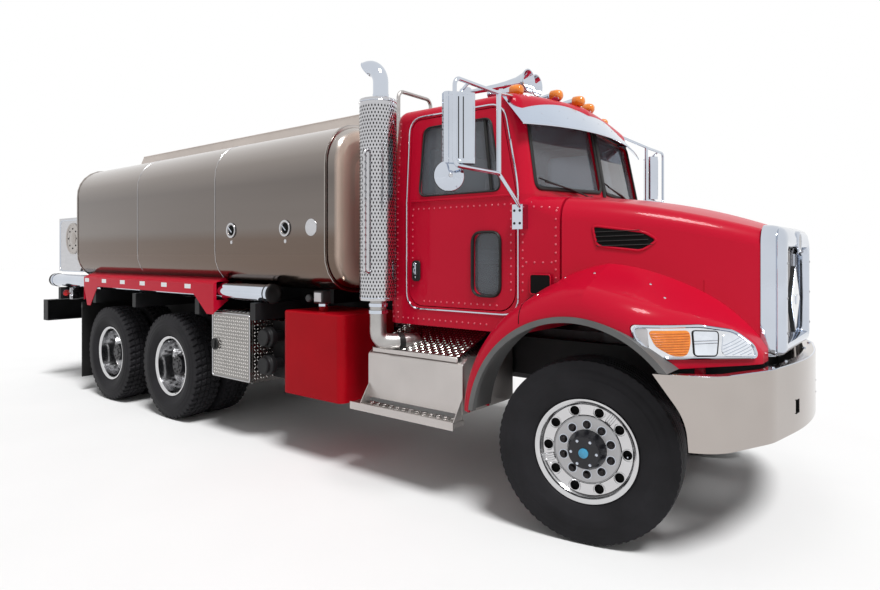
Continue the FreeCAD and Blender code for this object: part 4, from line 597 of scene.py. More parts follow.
def tyre_shape(segments, tread, radius_at):
    """Band from bead to bead; radius_at gives the tread's radius at a place across it and round it."""
    left = [(-a, r) for a, r in SIDEWALL]
    right = [(a, r) for a, r in reversed(SIDEWALL)]
    corners, faces = [], []
    count = len(left) + len(tread) + len(right) + len(INSIDE)
    for s in range(segments):
        turn = 2 * math.pi * s / segments
        ring = left + [(a, radius_at(a, s)) for a in tread] + right + INSIDE
        corners += [Vector((a, r * math.cos(turn), r * math.sin(turn))) for a, r in ring]
    for s in range(segments):
        t = (s + 1) % segments
        for k in range(count):
            n = (k + 1) % count
            faces.append([s * count + k, s * count + n, t * count + n, t * count + k])
    return corners, faces


def crowned(a):
    return TYRE_R - TREAD_SKIN - (abs(a) / TREAD_EDGE) ** 2 * CROWN_DROP


print("tyre radius", round(TYRE_R, 4))

# %% [markdown]
# ## Two treads
# Steering tyres have straight ribs with small cuts along the shoulder. Drive tyres have blocks in staggered
# rows, so the band is pushed in wherever a groove crosses it, which costs far less than cutting blocks out.
# All tyres of a kind share one shape.

# %% Two treads
RIB_GROOVES = (0.0, 0.048, 0.086)
RIB_EDGES = (-0.0062, -0.0045, 0.0045, 0.0062)  # corners on either side of a groove
BETWEEN_RIBS = (0.024, 0.066, 0.108, 0.119, 0.127)
LUG_EDGES = (0.005, 0.0165, 0.0185, 0.0255, 0.0275, 0.048, 0.069, 0.071, 0.0755, 0.0775, 0.092, 0.106, 0.119,
             0.128)


def ribbed(a, s):
    radius = crowned(a)
    if any(abs(abs(a) - middle) < 0.0046 for middle in RIB_GROOVES):
        radius -= 0.013
    if abs(a) > 0.112 and s % 3 == 0:
        radius -= 0.005
    return radius


def lugged(a, s):
    far = abs(a)
    stagger = 0 if a > 0 else 3
    step = (s + stagger + int(far * 30)) % 6
    if far < 0.018:
        return crowned(a) - (0.011 if s % 6 == 0 else 0.0)
    if far < 0.026 or 0.070 < far < 0.076:
        return crowned(a) - 0.016
    if step < (2 if far > 0.076 else 1):
        return crowned(a) - 0.017
    return crowned(a)


rib_places = sorted({round(s * (m + d), 4) for m in RIB_GROOVES for d in RIB_EDGES for s in (-1, 1)}
                    | {s * a for a in BETWEEN_RIBS for s in (-1, 1)})
lug_places = sorted({s * a for a in LUG_EDGES for s in (-1, 1)})
steer_tyre = tyre_shape(216, rib_places, ribbed)
drive_tyre = tyre_shape(288, lug_places, lugged)
print("faces in a steering tyre", len(steer_tyre[1]), "and in a drive tyre", len(drive_tyre[1]))

# %% [markdown]
# ## Tyres on their wheels
# Each tyre is placed on its own wheel's axis, which comes from the joint that turns it, so a steered wheel's
# tyre stands at the same angle as its rim.

# %% Tyres on their wheels
DUAL_SPACING = 0.343


def wheel_frame(joint_name, out):
    """(centre, outward axis) of a wheel from its joint."""
    joint = joints[joint_name]
    axis = Vector(joint["axis"]).normalized()
    return Vector(joint["pos_m"]), (axis if axis.y * out > 0 else -axis)


def placed_on(shape, centre, axis):
    """Shape made about the X axis, put on a wheel's centre and axis."""
    side = UP.cross(axis).normalized()
    turn = Matrix((axis, side, UP)).transposed()
    corners, faces = shape
    return [centre + turn @ c for c in corners], faces


for name, out in SIDES:
    centre, axis = wheel_frame(f"front_wheel_{name}_spin", out)
    piece(f"steer_tyre_{name}", [placed_on(steer_tyre, centre, axis)], f"front_wheel_{name}", "tyre",
          replaces=[f"front_tyre_{name}"])
    for place in ("rear", "mid"):
        centre, axis = wheel_frame(f"{place}_wheels_{name}_spin", out)
        pair = [placed_on(drive_tyre, centre - axis * gap, axis) for gap in (0.0, DUAL_SPACING)]
        piece(f"{place}_drive_tyres_{name}", pair, f"{place}_wheels_{name}", "tyre",
              replaces=[f"{place}_tyres_{name}"])
print("twin tyres stand", DUAL_SPACING, "apart")

# %% [markdown]
# ## Hub finishes and nuts
# Ten dark nuts hold each wheel, and each is a turned collar under a domed cap. Behind the hand holes lies
# shade, so every hole gets a short rolled lining that ends in a black disc: painted shade. The disc's face
# isn't flat on the CAD rim, so its place is measured with a ray between two holes.

# %% Hub finishes and nuts
STUDS, STUD_R = 10, 0.1435
HAND_HOLES = 10
# lining and black end disc of each hand hole: painted shade behind the wheel disc
HOLE_SHADE_LINING = ((0.0012, 0.0345), (0.0012, 0.0330), (-0.004, 0.0315), (-0.030, 0.0300), (-0.030, 0))
hub_black = finish("hub_black", (0.012, 0.012, 0.015), rough=0.35, coat=0.2, drift=0.2, drift_size=20.0,
                   grain=0.1, grain_size=100.0, gloss=0.3)
nut_dark = finish("nut_dark", (0.028, 0.026, 0.027), metal=0.9, rough=0.42, drift=0.2, drift_size=60.0,
                  grain=0.3, grain_size=200.0)


def wheel_nut(place, axis, radius=0.0185, height=0.034):
    collar = lathe(((-0.002, radius * 1.28), (0.004, radius * 1.25), (0.006, radius)), place, axis, 16)
    cap = lathe(((0.004, radius), (height - 0.006, radius * 0.96), (height - 0.001, radius * 0.72),
                 (height, 0)), place, axis, 10)
    return pile([collar, cap])


def hole_shade_linings(face, axis, radius):
    return [lathe(HOLE_SHADE_LINING, place, axis, 28) for place in circle(face, axis, radius, HAND_HOLES)]


def disc_face(node, centre, axis, radius):
    """Place on the axis level with a wheel disc's face, measured between two hand holes."""
    u, v = across(axis)
    way = u * math.cos(math.pi / HAND_HOLES) + v * math.sin(math.pi / HAND_HOLES)
    place, _ = skin(node, centre + way * radius + axis * 0.4, -axis)
    return centre + axis * (place - centre).dot(axis)


print("nuts", STUDS, "hand holes", HAND_HOLES)

# %% [markdown]
# ## Steered hubs
# The steered wheel shows its whole disc: a satin plate round the nuts, a bright turned edge round each hand
# hole, a valve and two clipped balance weights. The hub's black oil cap has six small bolts and a blue sight
# plug in the middle. Each is one turned shape or a ring of them, set on the wheel's own axis.

# %% Steered hubs
FRONT_FACE = 0.068
FRONT_HOLE_R = 0.2315
WASHER = ((-0.001, 0.0282), (0.0042, 0.0276), (0.0046, 0.024), (0.0046, 0))
SATIN_PLATE = ((0.0006, 0.1150), (0.0026, 0.1160), (0.0028, 0.188), (0.0060, 0.1900), (0.0062, 0.1930),
               (0.0004, 0.1955))
HOLE_RIM = ((-0.002, 0.0380), (0.0012, 0.0375), (0.0022, 0.0360), (0.0012, 0.0340))
OIL_CAP = ((-0.001, 0.1150), (0.004, 0.1147), (0.0685, 0.0930), (0.072, 0.0915), (0.078, 0.088),
           (0.080, 0.080), (0.080, 0.060), (0.083, 0.052), (0.0835, 0.034), (0.0825, 0.03), (0.0825, 0))
SIGHT_PLUG = ((-0.002, 0.028), (0.006, 0.0275), (0.009, 0.023), (0.0095, 0))
WEIGHT_TURNS = (math.radians(54), math.radians(198))
WEIGHT_RUN = ((0.205, 0.003), (0.215, 0.010), (0.248, 0.012), (0.262, 0.004))  # (reach, lift) over the rim
satin_grey = finish("satin_grey", (0.40, 0.40, 0.41), metal=1.0, rough=0.38, drift=0.05, drift_size=8.0,
                    grain=0.1, grain_size=80.0)
cap_blue = finish("cap_blue", (0.04, 0.30, 0.50), rough=0.3, coat=0.3, drift=0.1, drift_size=60.0, grain=0.1,
                  grain_size=100.0)


def balance_weight(face, axis, turn):
    """Three ribs of one clipped weight, over the rim's edge."""
    u, v = across(axis)
    way = u * math.cos(turn) + v * math.sin(turn)
    beside = axis.cross(way)
    run = [face + way * reach + axis * lift for reach, lift in WEIGHT_RUN]
    return [tube([p + beside * shift for p in run], 0.0075, 10) for shift in (-0.013, 0.0, 0.013)]


def steered_hub(name, out):
    centre, axis = wheel_frame(f"front_wheel_{name}_spin", out)
    body = f"front_wheel_{name}"
    face = centre + axis * FRONT_FACE
    hole_face = disc_face(f"front_rim_{name}", centre, axis, 0.2285)
    nuts = [wheel_nut(place, axis, 0.0190, 0.022)
            for place in circle(face + axis * 0.004, axis, STUD_R, STUDS, 0.5)]
    piece(f"front_wheel_nuts_{name}", nuts, body, nut_dark)
    washers = [lathe(WASHER, place, axis, 24) for place in circle(face, axis, STUD_R, STUDS, 0.5)]
    piece(f"front_washers_{name}", washers, body, "chrome")
    piece(f"wheel_plate_{name}", [lathe(SATIN_PLATE, face, axis, 72)], body, satin_grey, "brushed_aluminium")
    piece(f"hand_hole_shade_linings_{name}", hole_shade_linings(hole_face, axis, FRONT_HOLE_R), body, deep_black)
    rims = [lathe(HOLE_RIM, place, axis, 28) for place in circle(hole_face, axis, FRONT_HOLE_R, HAND_HOLES)]
    piece(f"hand_hole_rims_{name}", rims, body, wheel_polish, "polished_aluminium")
    seam = tube(circle(face + axis * 0.001, axis, 0.1965, 72), 0.0016, 6, closed=True)
    piece(f"wheel_seam_{name}", [seam], body, deep_black)
    weights = [rib for turn in WEIGHT_TURNS for rib in balance_weight(hole_face, axis, turn)]
    piece(f"balance_weights_{name}", weights, body, wheel_polish, "polished_aluminium")
    piece(f"oil_cap_{name}", [lathe(OIL_CAP, face, axis, 48)], body, hub_black)
    cap_bolts = [bolt(place, axis, 0.0062, 0.006) for place in circle(face + axis * 0.0798, axis, 0.073, 6)]
    piece(f"oil_cap_bolts_{name}", cap_bolts, body, "chrome")
    piece(f"sight_plug_{name}", [lathe(SIGHT_PLUG, face + axis * 0.0825, axis, 24)], body, cap_blue)
    valve = centre + axis * 0.060 + across(axis)[0] * 0.236
    piece(f"valve_{name}", [tube([valve, valve + axis * 0.05], 0.0042, 10)], body, "chrome")


print("hub face", FRONT_FACE, "balance weights", len(WEIGHT_TURNS))

# %% [markdown]
# ## Drive hubs
# A drive hub ends in a long black axle flange with its own ring of studs. The twin discs face inward and
# outward, so the nuts sit between the tyres, half the twin spacing in from the outer wheel's middle.

# %% Drive hubs
TWIN_FACE = -DUAL_SPACING / 2
TWIN_HOLE_R = 0.200
AXLE_FLANGE = ((0.002, 0.1215), (0.110, 0.1158), (0.1135, 0.113), (0.1140, 0.099), (0.207, 0.0908),
               (0.2125, 0.088), (0.2125, 0.04), (0.220, 0.036), (0.2205, 0))


def drive_hub(place, name, out):
    centre, axis = wheel_frame(f"{place}_wheels_{name}_spin", out)
    body = f"{place}_wheels_{name}"
    disc = centre + axis * TWIN_FACE
    nuts = [wheel_nut(at, axis) for at in circle(disc, axis, STUD_R, STUDS, 0.5)]
    piece(f"{place}_wheel_nuts_{name}", nuts, body, nut_dark)
    piece(f"{place}_axle_flange_{name}", [lathe(AXLE_FLANGE, disc, axis, 40)], body, hub_black)
    hole_face = disc_face(f"{place}_rims_{name}", centre, axis, TWIN_HOLE_R)
    piece(f"{place}_hole_shade_linings_{name}", hole_shade_linings(hole_face, axis, TWIN_HOLE_R), body, deep_black)
    studs = [bolt(at, axis, 0.008, 0.008) for at in circle(disc + axis * 0.212, axis, 0.066, 8)]
    piece(f"{place}_axle_studs_{name}", studs, body, nut_dark)


for name, out in SIDES:
    steered_hub(name, out)
    for place in ("rear", "mid"):
        drive_hub(place, name, out)
print("twin discs meet at", round(TWIN_FACE, 4))

# %% [markdown]
# ## Rivets on the cab
# The cab is built from riveted sheet, so rows of small domed heads follow every seam: under the window line,
# round the door, down the rear corner, along the cowl and beside the hood's edge. A bump map would lose their
# highlights, so each is a real dome, and one mesh holds all those of a body.

# %% Rivets on the cab
RIVET_PITCH = 0.048
DOOR_RUNS = (((4.36, 1.975), (5.19, 1.975)), ((4.352, 1.42), (4.352, 1.93)), ((5.19, 1.42), (5.19, 1.93)),
             ((4.46, 1.315), (5.08, 1.315)))
CAB_RUNS = (((4.205, 1.22), (4.205, 2.0)), ((4.205, 2.06), (4.205, 2.62)), ((4.16, 1.185), (5.0, 1.185)),
            ((4.145, 1.22), (4.145, 2.6)), ((5.275, 1.42), (5.275, 1.93)))
COWL_RUNS = (((5.30, 1.955), (5.50, 1.938)), ((5.497, 1.40), (5.497, 1.92)), ((5.30, 1.60), (5.47, 1.60)))
# Rivet heads wear a paler, glossier copy of the cab red: painted highlight, so that each dome reads as a
# bright dot.
rivet_red_painted_highlight = finish("rivet_red_painted_highlight", (0.66, 0.07, 0.11), rough=0.2, coat=0.6, drift=0.05, drift_size=20.0,
                   grain=0.05, grain_size=200.0)


def side_rivets(node, runs, side):
    """Rivets along runs of (along the truck, height), wherever the skin faces the side."""
    heads = []
    for start, end in runs:
        start, end = Vector((start[0], 0, start[1])), Vector((end[0], 0, end[1]))
        count = max(int((end - start).length / RIVET_PITCH), 1)
        for i in range(count + 1):
            p = start.lerp(end, i / count)
            place, out = skin_beside(node, p.x, p.z, side)
            if out and out.dot(outward(side)) > 0.8:
                heads.append(rivet(place, out, 0.0075, 0.0042, 10))
    return heads


for name, side in SIDES:
    piece(f"door_rivets_{name}", side_rivets(f"door_{name}", DOOR_RUNS, side), f"door_{name}", rivet_red_painted_highlight,
          "red_paint")
    cab_heads = side_rivets("cab_shell", CAB_RUNS + COWL_RUNS, side)
    piece(f"cab_rivets_{name}", cab_heads, "truck", rivet_red_painted_highlight, "red_paint")
print("rivets on one side of the cab", len(cab_heads))

# %% [markdown]
# ## Loops laid on the cab's side
# The cab's sides are flat up to the window line and lean in above it. Trim that crosses the line has to bend
# with it, so an outline of a few (along, height) points is eased, divided and laid on that shape, then lifted
# off by the trim's own thickness.

# %% Loops laid on the cab's side
BELT = 2.035  # height of the window line
SIDE_BELOW, SIDE_AT_BELT = 0.9745, 0.9725
LEAN_IN = 0.0608  # metres inward for each metre up


def laid_on_side(points, side, lift, radius=0.06, closed=True):
    """Run of (along, height) points laid on the cab's side and lifted off it."""
    run = spread(eased([Vector((x, 0, z)) for x, z in points], radius, 6, closed), 0.05, closed)
    laid = []
    for p in run:
        half = SIDE_BELOW if p.z < BELT else SIDE_AT_BELT - (p.z - BELT) * LEAN_IN
        laid.append(row(p.x, side * (half + lift), p.z))
    return laid


def grown(points, by):
    """Outline moved outward from its middle by a distance."""
    mx = sum(p[0] for p in points) / len(points)
    mz = sum(p[1] for p in points) / len(points)
    return [(x + math.copysign(by, x - mx), z + math.copysign(by, z - mz)) for x, z in points]


print("sides lean in", round(math.degrees(math.atan(LEAN_IN)), 1), "degrees")

# %% [markdown]
# ## Cowl openings
# Low on the cowl, just above the fender, a dark rectangular opening lets air out of the engine bay. Cutting
# the CAD cab isn't allowed, so it is a black panel with a thin rolled edge, laid on the cowl's side.

# %% Cowl openings
COWL_OPENING = ((5.330, 1.400), (5.474, 1.400), (5.474, 1.524), (5.330, 1.524))
for name, side in SIDES:
    # black panel: painted shade standing for the dark inside of the opening
    panel = laid_on_side(COWL_OPENING, side, 0.0022, 0.02)
    piece(f"cowl_slot_{name}", [(panel, [list(range(len(panel)))])], "truck", deep_black)
    rolled = tube(laid_on_side(COWL_OPENING, side, 0.001, 0.02), 0.004, 8, closed=True)
    piece(f"cowl_slot_edge_{name}", [rolled], "truck", "red_paint")
print("points round an opening", len(panel))

# %% [markdown]
# ## Door trim and window rubber
# A bright bead runs round the door opening, a flat strip covers its front edge, and black rubber holds each
# window and the low peep window, with a bright line inside the latter. All are tubes that follow the same few
# corners as the door. A short ledge under the window is folded in the door's own sheet.

# %% Door trim and window rubber
DOOR_EDGE = ((4.310, 1.272), (5.232, 1.272), (5.232, 2.05), (5.098, 2.635), (4.310, 2.635))
WINDOW = ((4.412, 2.068), (5.108, 2.068), (5.010, 2.560), (4.440, 2.560))
QUARTER_POST = ((5.030, 2.07), (4.955, 2.555))
PEEP = ((4.892, 1.378), (5.104, 1.378), (5.104, 1.792), (4.892, 1.792))
FRONT_STRIP = ((5.246, 1.36), (5.246, 2.02))
for name, side in SIDES:
    door = f"door_{name}"
    ledge = side_block(side, (4.345, 5.195), (0.974, 0.986), (2.026, 2.040), 0.004)
    piece(f"belt_ledge_{name}", [ledge], door, "red_paint")
    bead = tube(laid_on_side(grown(DOOR_EDGE, 0.014), side, 0.002, 0.12), 0.006, 8, closed=True)
    strip = tube(laid_on_side(FRONT_STRIP, side, 0.002, closed=False), 0.011, 8, flat=0.6)
    piece(f"door_bead_{name}", [bead, strip], "truck", "chrome")
    rubber = [tube(laid_on_side(grown(WINDOW, 0.002), side, -0.001), 0.010, 10, closed=True, flat=0.6),
              tube(laid_on_side(grown(PEEP, 0.006), side, 0.002, 0.075), 0.016, 10, closed=True, flat=0.6),
              tube(laid_on_side(QUARTER_POST, side, -0.012, closed=False), 0.012, 8)]
    piece(f"window_rubber_{name}", rubber, door, "rubber")
    bright = tube(laid_on_side(grown(PEEP, -0.002), side, 0.008, 0.07), 0.003, 8, closed=True)
    piece(f"peep_bright_{name}", [bright], door, "chrome")
print("trim round", len(DOOR_EDGE), "corners")

# %% [markdown]
# ## Door handles
# The door handle is a black paddle housing with a bright pull and a keyhole, on the block that the CAD door
# carries. Small chamfered blocks and one bead are enough.

# %% Door handles
HANDLE = (4.398, 1.530)  # along the truck, height
for name, side in SIDES:
    door, (x, z) = f"door_{name}", HANDLE
    frame_run = rounded(row(x, side * 0.990, z), AHEAD * 0.032, UP * 0.068)
    housing = side_block(side, (x - 0.030, x + 0.030), (0.987, 0.9935), (z - 0.066, z + 0.066), 0.004)
    piece(f"handle_housing_{name}", [tube(frame_run, 0.007, 8, closed=True), housing], door, "rubber")
    pull = side_block(side, (x - 0.020, x + 0.006), (0.992, 1.004), (z - 0.025, z + 0.058), 0.006)
    keyhole = rivet(row(x - 0.007, side * 0.993, z - 0.045), outward(side), 0.009, 0.005, 14)
    piece(f"handle_pull_{name}", [pull, keyhole], door, "chrome")
print("handle height", HANDLE[1])

# %% [markdown]
# ## Windscreen
# Two flat panes meet at a centre post, and each sits in black rubber. The glass leans back and wraps a little
# towards the doors, so `on_screen` gives the place for a distance sideways and a height.

# %% Windscreen
PANE = ((0.034, 2.104), (0.872, 2.078), (0.836, 2.560), (0.034, 2.592))
SCREEN_FOOT = 5.403  # the screen's foot at the middle of the cab
SCREEN_WRAP = 0.090  # how far its outer edge stands back from the middle
SCREEN_LEAN = 0.14 / 0.74  # metres back for each metre up


def on_screen(y, z, lift=0.0):
    x = SCREEN_FOOT - SCREEN_WRAP * abs(y) / 0.975 - (z - BELT) * SCREEN_LEAN
    return row(x + lift, y, z)


for name, side in SIDES:
    outline = eased([Vector((0, side * y, z)) for y, z in PANE], 0.055, 5, True)
    run = [on_screen(p.y, p.z, 0.004) for p in outline]
    piece(f"screen_rubber_{name}", [tube(run, 0.014, 10, closed=True, flat=0.55)], "truck", "rubber")
post = [on_screen(0, z, 0.004) for z in (2.07, 2.30, 2.61)]
piece("centre_post", [tube(post, 0.020, 10, flat=0.6)], "truck", "rubber")
print("screen leans back", round(math.degrees(math.atan(SCREEN_LEAN)), 1), "degrees")

# %% [markdown]
# ## Wipers
# Two wipers park along the foot of the screen, each an arm with a slight bow, a blade that stands off the
# glass, and a turned pivot. Each is worked out from where its pivot and its tip lie on the screen.

# %% Wipers
WIPERS = ((-0.24, -0.80, 2.125), (0.60, 0.06, 2.155))  # pivot and tip sideways, tip height
PIVOT_KNOB = ((-0.03, 0.013), (0.010, 0.013), (0.014, 0.008), (0.014, 0))
for number, (pivot_y, tip_y, tip_z) in enumerate(WIPERS):
    pivot = on_screen(pivot_y, 2.052, 0.028)
    tip = on_screen(tip_y, tip_z, 0.030)
    along = (tip - pivot).normalized()
    arm = tube([pivot, pivot.lerp(tip, 0.5) + Vector((0.012, 0, 0.004)), tip], 0.006, 8)
    blade_middle = pivot.lerp(tip, 0.66) + Vector((-0.012, 0, 0.012))
    blade = tube([blade_middle - along * 0.26, blade_middle + along * 0.24], 0.0075, 8, flat=0.5)
    knob = lathe(PIVOT_KNOB, pivot, Vector((0.8, 0, 0.4)), 14)
    piece(f"wiper_{number}", [arm, blade, knob], "truck", "rubber")
print("wipers", len(WIPERS))

# %% [markdown]
# ## Sun visor
# The bright visor is one sheet from the CAD part. Rivets fix it in short slanting threes, dropped on it by
# rays, and a folded lip stiffens its lower edge. The lip bows forward and up in the middle with the sheet.

# %% Sun visor
VISOR_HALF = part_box("sun_visor")[1].y
visor_rivets = []
for y in (-0.74, -0.50, -0.25, 0.0, 0.25, 0.50, 0.74):
    for k in range(3):
        place, out = skin("sun_visor", row(5.22 + 0.055 * k, y + 0.022 * k, 3.1), -UP)
        if place is not None:
            visor_rivets.append(rivet(place, out, 0.0065))
piece("visor_rivets", visor_rivets, "truck", "chrome")
lip = []
for i in range(33):
    y = VISOR_HALF * (i / 16 - 1)
    bow = 1 - (y / VISOR_HALF) ** 2
    lip.append(row(5.285 + 0.147 * bow, y, 2.483 + 0.036 * bow))
piece("visor_lip", [tube(lip, 0.005, 8)], "truck", "chrome")
print("visor rivets", len(visor_rivets))

# %% [markdown]
# ## Marker lamps
# Five bullet lamps stand along the roof. Their bright bodies are CAD; the amber lens on each nose is turned
# here with a shallow ridge. A few rays at different heights find the nose's tip.

# %% Marker lamps
LAMP_NOSES = ((5.110, -0.705), (5.185, -0.270), (5.230, 0.0), (5.185, 0.270), (5.110, 0.705))
NOSE_HEIGHTS = (2.76, 2.78, 2.80, 2.82, 2.84, 2.86)
MARKER_LENS = ((-0.080, 0.0395), (-0.074, 0.0430), (-0.030, 0.0420), (-0.006, 0.0345), (0.003, 0.025),
               (0.007, 0.012), (0.008, 0))


def nose_tip(x, y):
    """Foremost point of a marker lamp near a place, found by rays from ahead."""
    hits = [(skin("roof_lights", row(x + 0.3, y, z), BACK)[0], z) for z in NOSE_HEIGHTS]
    tip_x, tip_z = max((hit.x, z) for hit, z in hits if hit is not None)
    return Vector((tip_x, y, tip_z))


lenses = [lathe(MARKER_LENS, nose_tip(x, y), AHEAD, 24) for x, y in LAMP_NOSES]
piece("marker_lenses", lenses, "truck", "amber")
print("marker lenses", len(lenses))

# %% [markdown]
# ## Laying a patch on a curved face
# Lamp lenses and vents are panels that follow a curved face. A flat polygon would sink into it, so a patch is
# made of rings: from the middle of its outline outward, each point is laid on the face by a function, and a
# last ring may be tucked under as a skirt.

# %% Laying a patch on a curved face
def outline_run(outline, ease, steps, step):
    """Eased and divided run of (x, 0, z) points from an outline of pairs."""
    return spread(eased([Vector((a, 0, z)) for a, z in outline], ease, steps, True), step, True)


def patch(outline, lay, ease=0.03, rings=5, step=0.02, skirt=None):
    """Panel inside an outline; lay and skirt turn (across, height) into a point on the face."""
    flat = outline_run(outline, ease, 4, step)
    middle = sum(flat, Vector()) / len(flat)
    corners = [lay(middle.x, middle.z)]
    for r in range(1, rings + 1):
        ring = [middle.lerp(p, r / rings) for p in flat]
        corners += [lay(q.x, q.z) for q in ring]
    if skirt:
        corners += [skirt(p.x, p.z) for p in flat]
    count = len(flat)
    faces = [[0, 1 + i, 1 + (i + 1) % count] for i in range(count)]
    for r in range(rings if skirt else rings - 1):
        a, b = 1 + r * count, 1 + (r + 1) * count
        for i in range(count):
            j = (i + 1) % count
            faces.append([a + i, b + i, b + j, a + j])
    return corners, faces


print("patch helper ready")

# %% [markdown]
# ## Headlamps
# Each lamp is one long teardrop let into the fender: a smoky end cover outboard, an amber quarter, a square
# lens and a clear fluted one, in a bright bezel. Each section is a patch laid on the lamp's curved face, seen
# from a little outboard of straight ahead, the way that the lamp faces. The fluted lenses are rippled bright
# metal under a clear coat, which looks like ribbed glass and costs no refraction.

# %% Headlamps
LAMP_AIM = math.radians(40)
LAMP_MIDDLE = (6.300, 0.900)
WHOLE = ((-0.358, 1.087), (0.236, 1.106), (0.346, 1.184), (0.374, 1.270), (0.0, 1.267), (-0.228, 1.231),
         (-0.344, 1.150))
END_COVER = ((0.292, 1.150), (0.340, 1.190), (0.366, 1.262), (0.300, 1.262))
AMBER = ((0.085, 1.112), (0.170, 1.114), (0.262, 1.165), (0.300, 1.250), (0.070, 1.248), (0.062, 1.180))
SQUARE = ((-0.100, 1.106), (0.040, 1.112), (0.052, 1.246), (-0.112, 1.236))
CLEAR = ((-0.330, 1.100), (-0.128, 1.106), (-0.140, 1.228), (-0.225, 1.214), (-0.325, 1.150))
fluted = finish("lamp_reflector", (0.74, 0.78, 0.84), metal=1.0, rough=0.1, coat=0.6, drift=0.1,
                drift_size=9.0, grain=0.5, grain_size=26.0)
end_cover = finish("lamp_end_cover", (0.42, 0.41, 0.42), metal=0.3, rough=0.2, coat=0.8, drift=0.1,
                   drift_size=8.0, grain=0.05, grain_size=40.0)


def lamp_face(side, lift):
    """Function from a place across the lamp and a height to a point on its face."""
    out = Vector((math.cos(LAMP_AIM), side * math.sin(LAMP_AIM), 0))
    wide = Vector((-math.sin(LAMP_AIM), side * math.cos(LAMP_AIM), 0))

    def lay(across_lamp, z):
        start = row(LAMP_MIDDLE[0], side * LAMP_MIDDLE[1], z) + wide * across_lamp + out * 0.6
        place, normal = skin("headlights", start, -out)
        return start - out * 0.55 if place is None else place + normal * lift
    return lay


def lamp_patch(outline, side, lift=0.004, ease=0.03):
    return patch(outline, lamp_face(side, lift), ease, skirt=lamp_face(side, -0.004))


def lamp_edge(outline, side, lift, radius, ease):
    """Bead that follows an outline on the lamp's face."""
    lay = lamp_face(side, lift)
    return tube([lay(p.x, p.z) for p in outline_run(outline, ease, 5, 0.02)], radius, 8, closed=True)


for name, side in SIDES:
    piece(f"lamp_bezel_{name}", [lamp_edge(WHOLE, side, 0.001, 0.0085, 0.05)], "hood", "chrome")
    piece(f"lamp_amber_{name}", [lamp_patch(AMBER, side)], "hood", "amber")
    piece(f"lamp_end_{name}", [lamp_patch(END_COVER, side, 0.0035, 0.015)], "hood", end_cover)
    piece(f"lamp_square_{name}", [lamp_patch(SQUARE, side, ease=0.02)], "hood", fluted, "lamp")
    piece(f"lamp_square_rim_{name}", [lamp_edge(SQUARE, side, 0.004, 0.0032, 0.02)], "hood", "rubber")
    piece(f"lamp_clear_{name}", [lamp_patch(CLEAR, side, ease=0.04)], "hood", fluted, "lamp")
print("lamp faces", round(math.degrees(LAMP_AIM)), "degrees outboard")

# %% [markdown]
# ## Ribs on the lenses
# Moulded lenses carry fine ribs: level ones on the amber, two bright bars behind the square lens and slanting
# streaks in the clear one. They are thin tubes laid on the same face and kept inside the lens by a test that
# counts how often a level line crosses its outline.

# %% Ribs on the lenses
RIB_STEP = 0.012
amber_rib = finish("amber_rib", (0.62, 0.13, 0.008), rough=0.2, coat=0.5, drift=0.05, drift_size=20.0,
                   grain=0.05, grain_size=200.0)


def inside(a, z, outline):
    odd = False
    for (a0, z0), (a1, z1) in zip(outline, outline[1:] + outline[:1]):
        if (z0 > z) != (z1 > z) and a < a0 + (a1 - a0) * (z - z0) / (z1 - z0):
            odd = not odd
    return odd


def lens_lines(outline, lay, heights, radius, slope=0.0):
    """Thin ribs across a lens, starting at its inboard end at the given heights."""
    low = min(a for a, _ in outline)
    steps = int((max(a for a, _ in outline) - low) / RIB_STEP) + 1
    lines = []
    for height in heights:
        places = [(low + RIB_STEP * k, height + slope * RIB_STEP * k) for k in range(steps)]
        run = [lay(a, z) for a, z in places if inside(a, z, outline)]
        if len(run) > 2:
            lines.append(tube(run, radius, 6))
    return lines


for name, side in SIDES:
    ribs = lens_lines(AMBER, lamp_face(side, 0.0045), [1.124 + 0.0135 * k for k in range(9)], 0.0022)
    piece(f"amber_ribs_{name}", ribs, "hood", amber_rib, "amber")
    bars = lens_lines(SQUARE, lamp_face(side, 0.0050), [1.176, 1.190], 0.0030)
    streaks = lens_lines(CLEAR, lamp_face(side, 0.0046), [1.118 + 0.018 * k for k in range(7)], 0.0022, -0.35)
    piece(f"lens_bars_{name}", bars + streaks, "hood", "chrome")
print("ribs", len(ribs), "bars", len(bars), "streaks", len(streaks))

# %% [markdown]
# ## Fender seam and bolts
# The fender is pressed in two parts, so a fine dark seam crosses it near its rear, and some bright bolts hold
# it to its bracket. Both are laid on the fender by rays from the side; a ray that passes through the wheel
# arch finds nothing and leaves its point out.

# %% Fender seam and bolts
FENDER_SEAM = ((5.424, 1.440), (5.398, 1.400), (5.384, 1.345), (5.390, 1.285), (5.400, 1.215))
FENDER_BOLTS = ((5.560, 1.508), (5.470, 1.408), (5.760, 1.540), (6.060, 1.480), (6.160, 1.410))
for name, side in SIDES:
    seam_run = spread([Vector((x, 0, z)) for x, z in FENDER_SEAM], 0.02)
    found = [skin_beside("hood", p.x, p.z, side) for p in seam_run]
    run = [place + out * 0.0006 for place, out in found if place is not None]
    piece(f"fender_seam_{name}", [tube(run, 0.0026, 6)], "hood", deep_black)
    found = [skin_beside("hood", x, z, side) for x, z in FENDER_BOLTS]
    heads = [rivet(place, out, 0.0085, 0.0045, 12) for place, out in found if place is not None]
    piece(f"fender_bolts_{name}", heads, "hood", "chrome")
print("seam points", len(run), "bolts", len(heads))

# %% [markdown]
# ## Hood intakes
# A slanted intake with black louvres opens in each side of the hood behind a raised red lip. A hole would
# need the CAD hood to be cut, so the dark panel, the lip and the louvres are laid on the hood's skin, where
# they follow its taper and tip forward with it.

# %% Hood intakes
INTAKE = ((5.702, 1.825), (5.728, 1.700), (5.965, 1.670), (6.048, 1.735), (5.980, 1.783))
LOUVRES, LOUVRE_PITCH = 4, 0.028


def hood_side(side, lift):
    """Function from a place along the truck and a height to a point over the hood's side."""
    def lay(x, z):
        place, out = skin_beside("hood", x, z, side)
        return place + out * lift
    return lay


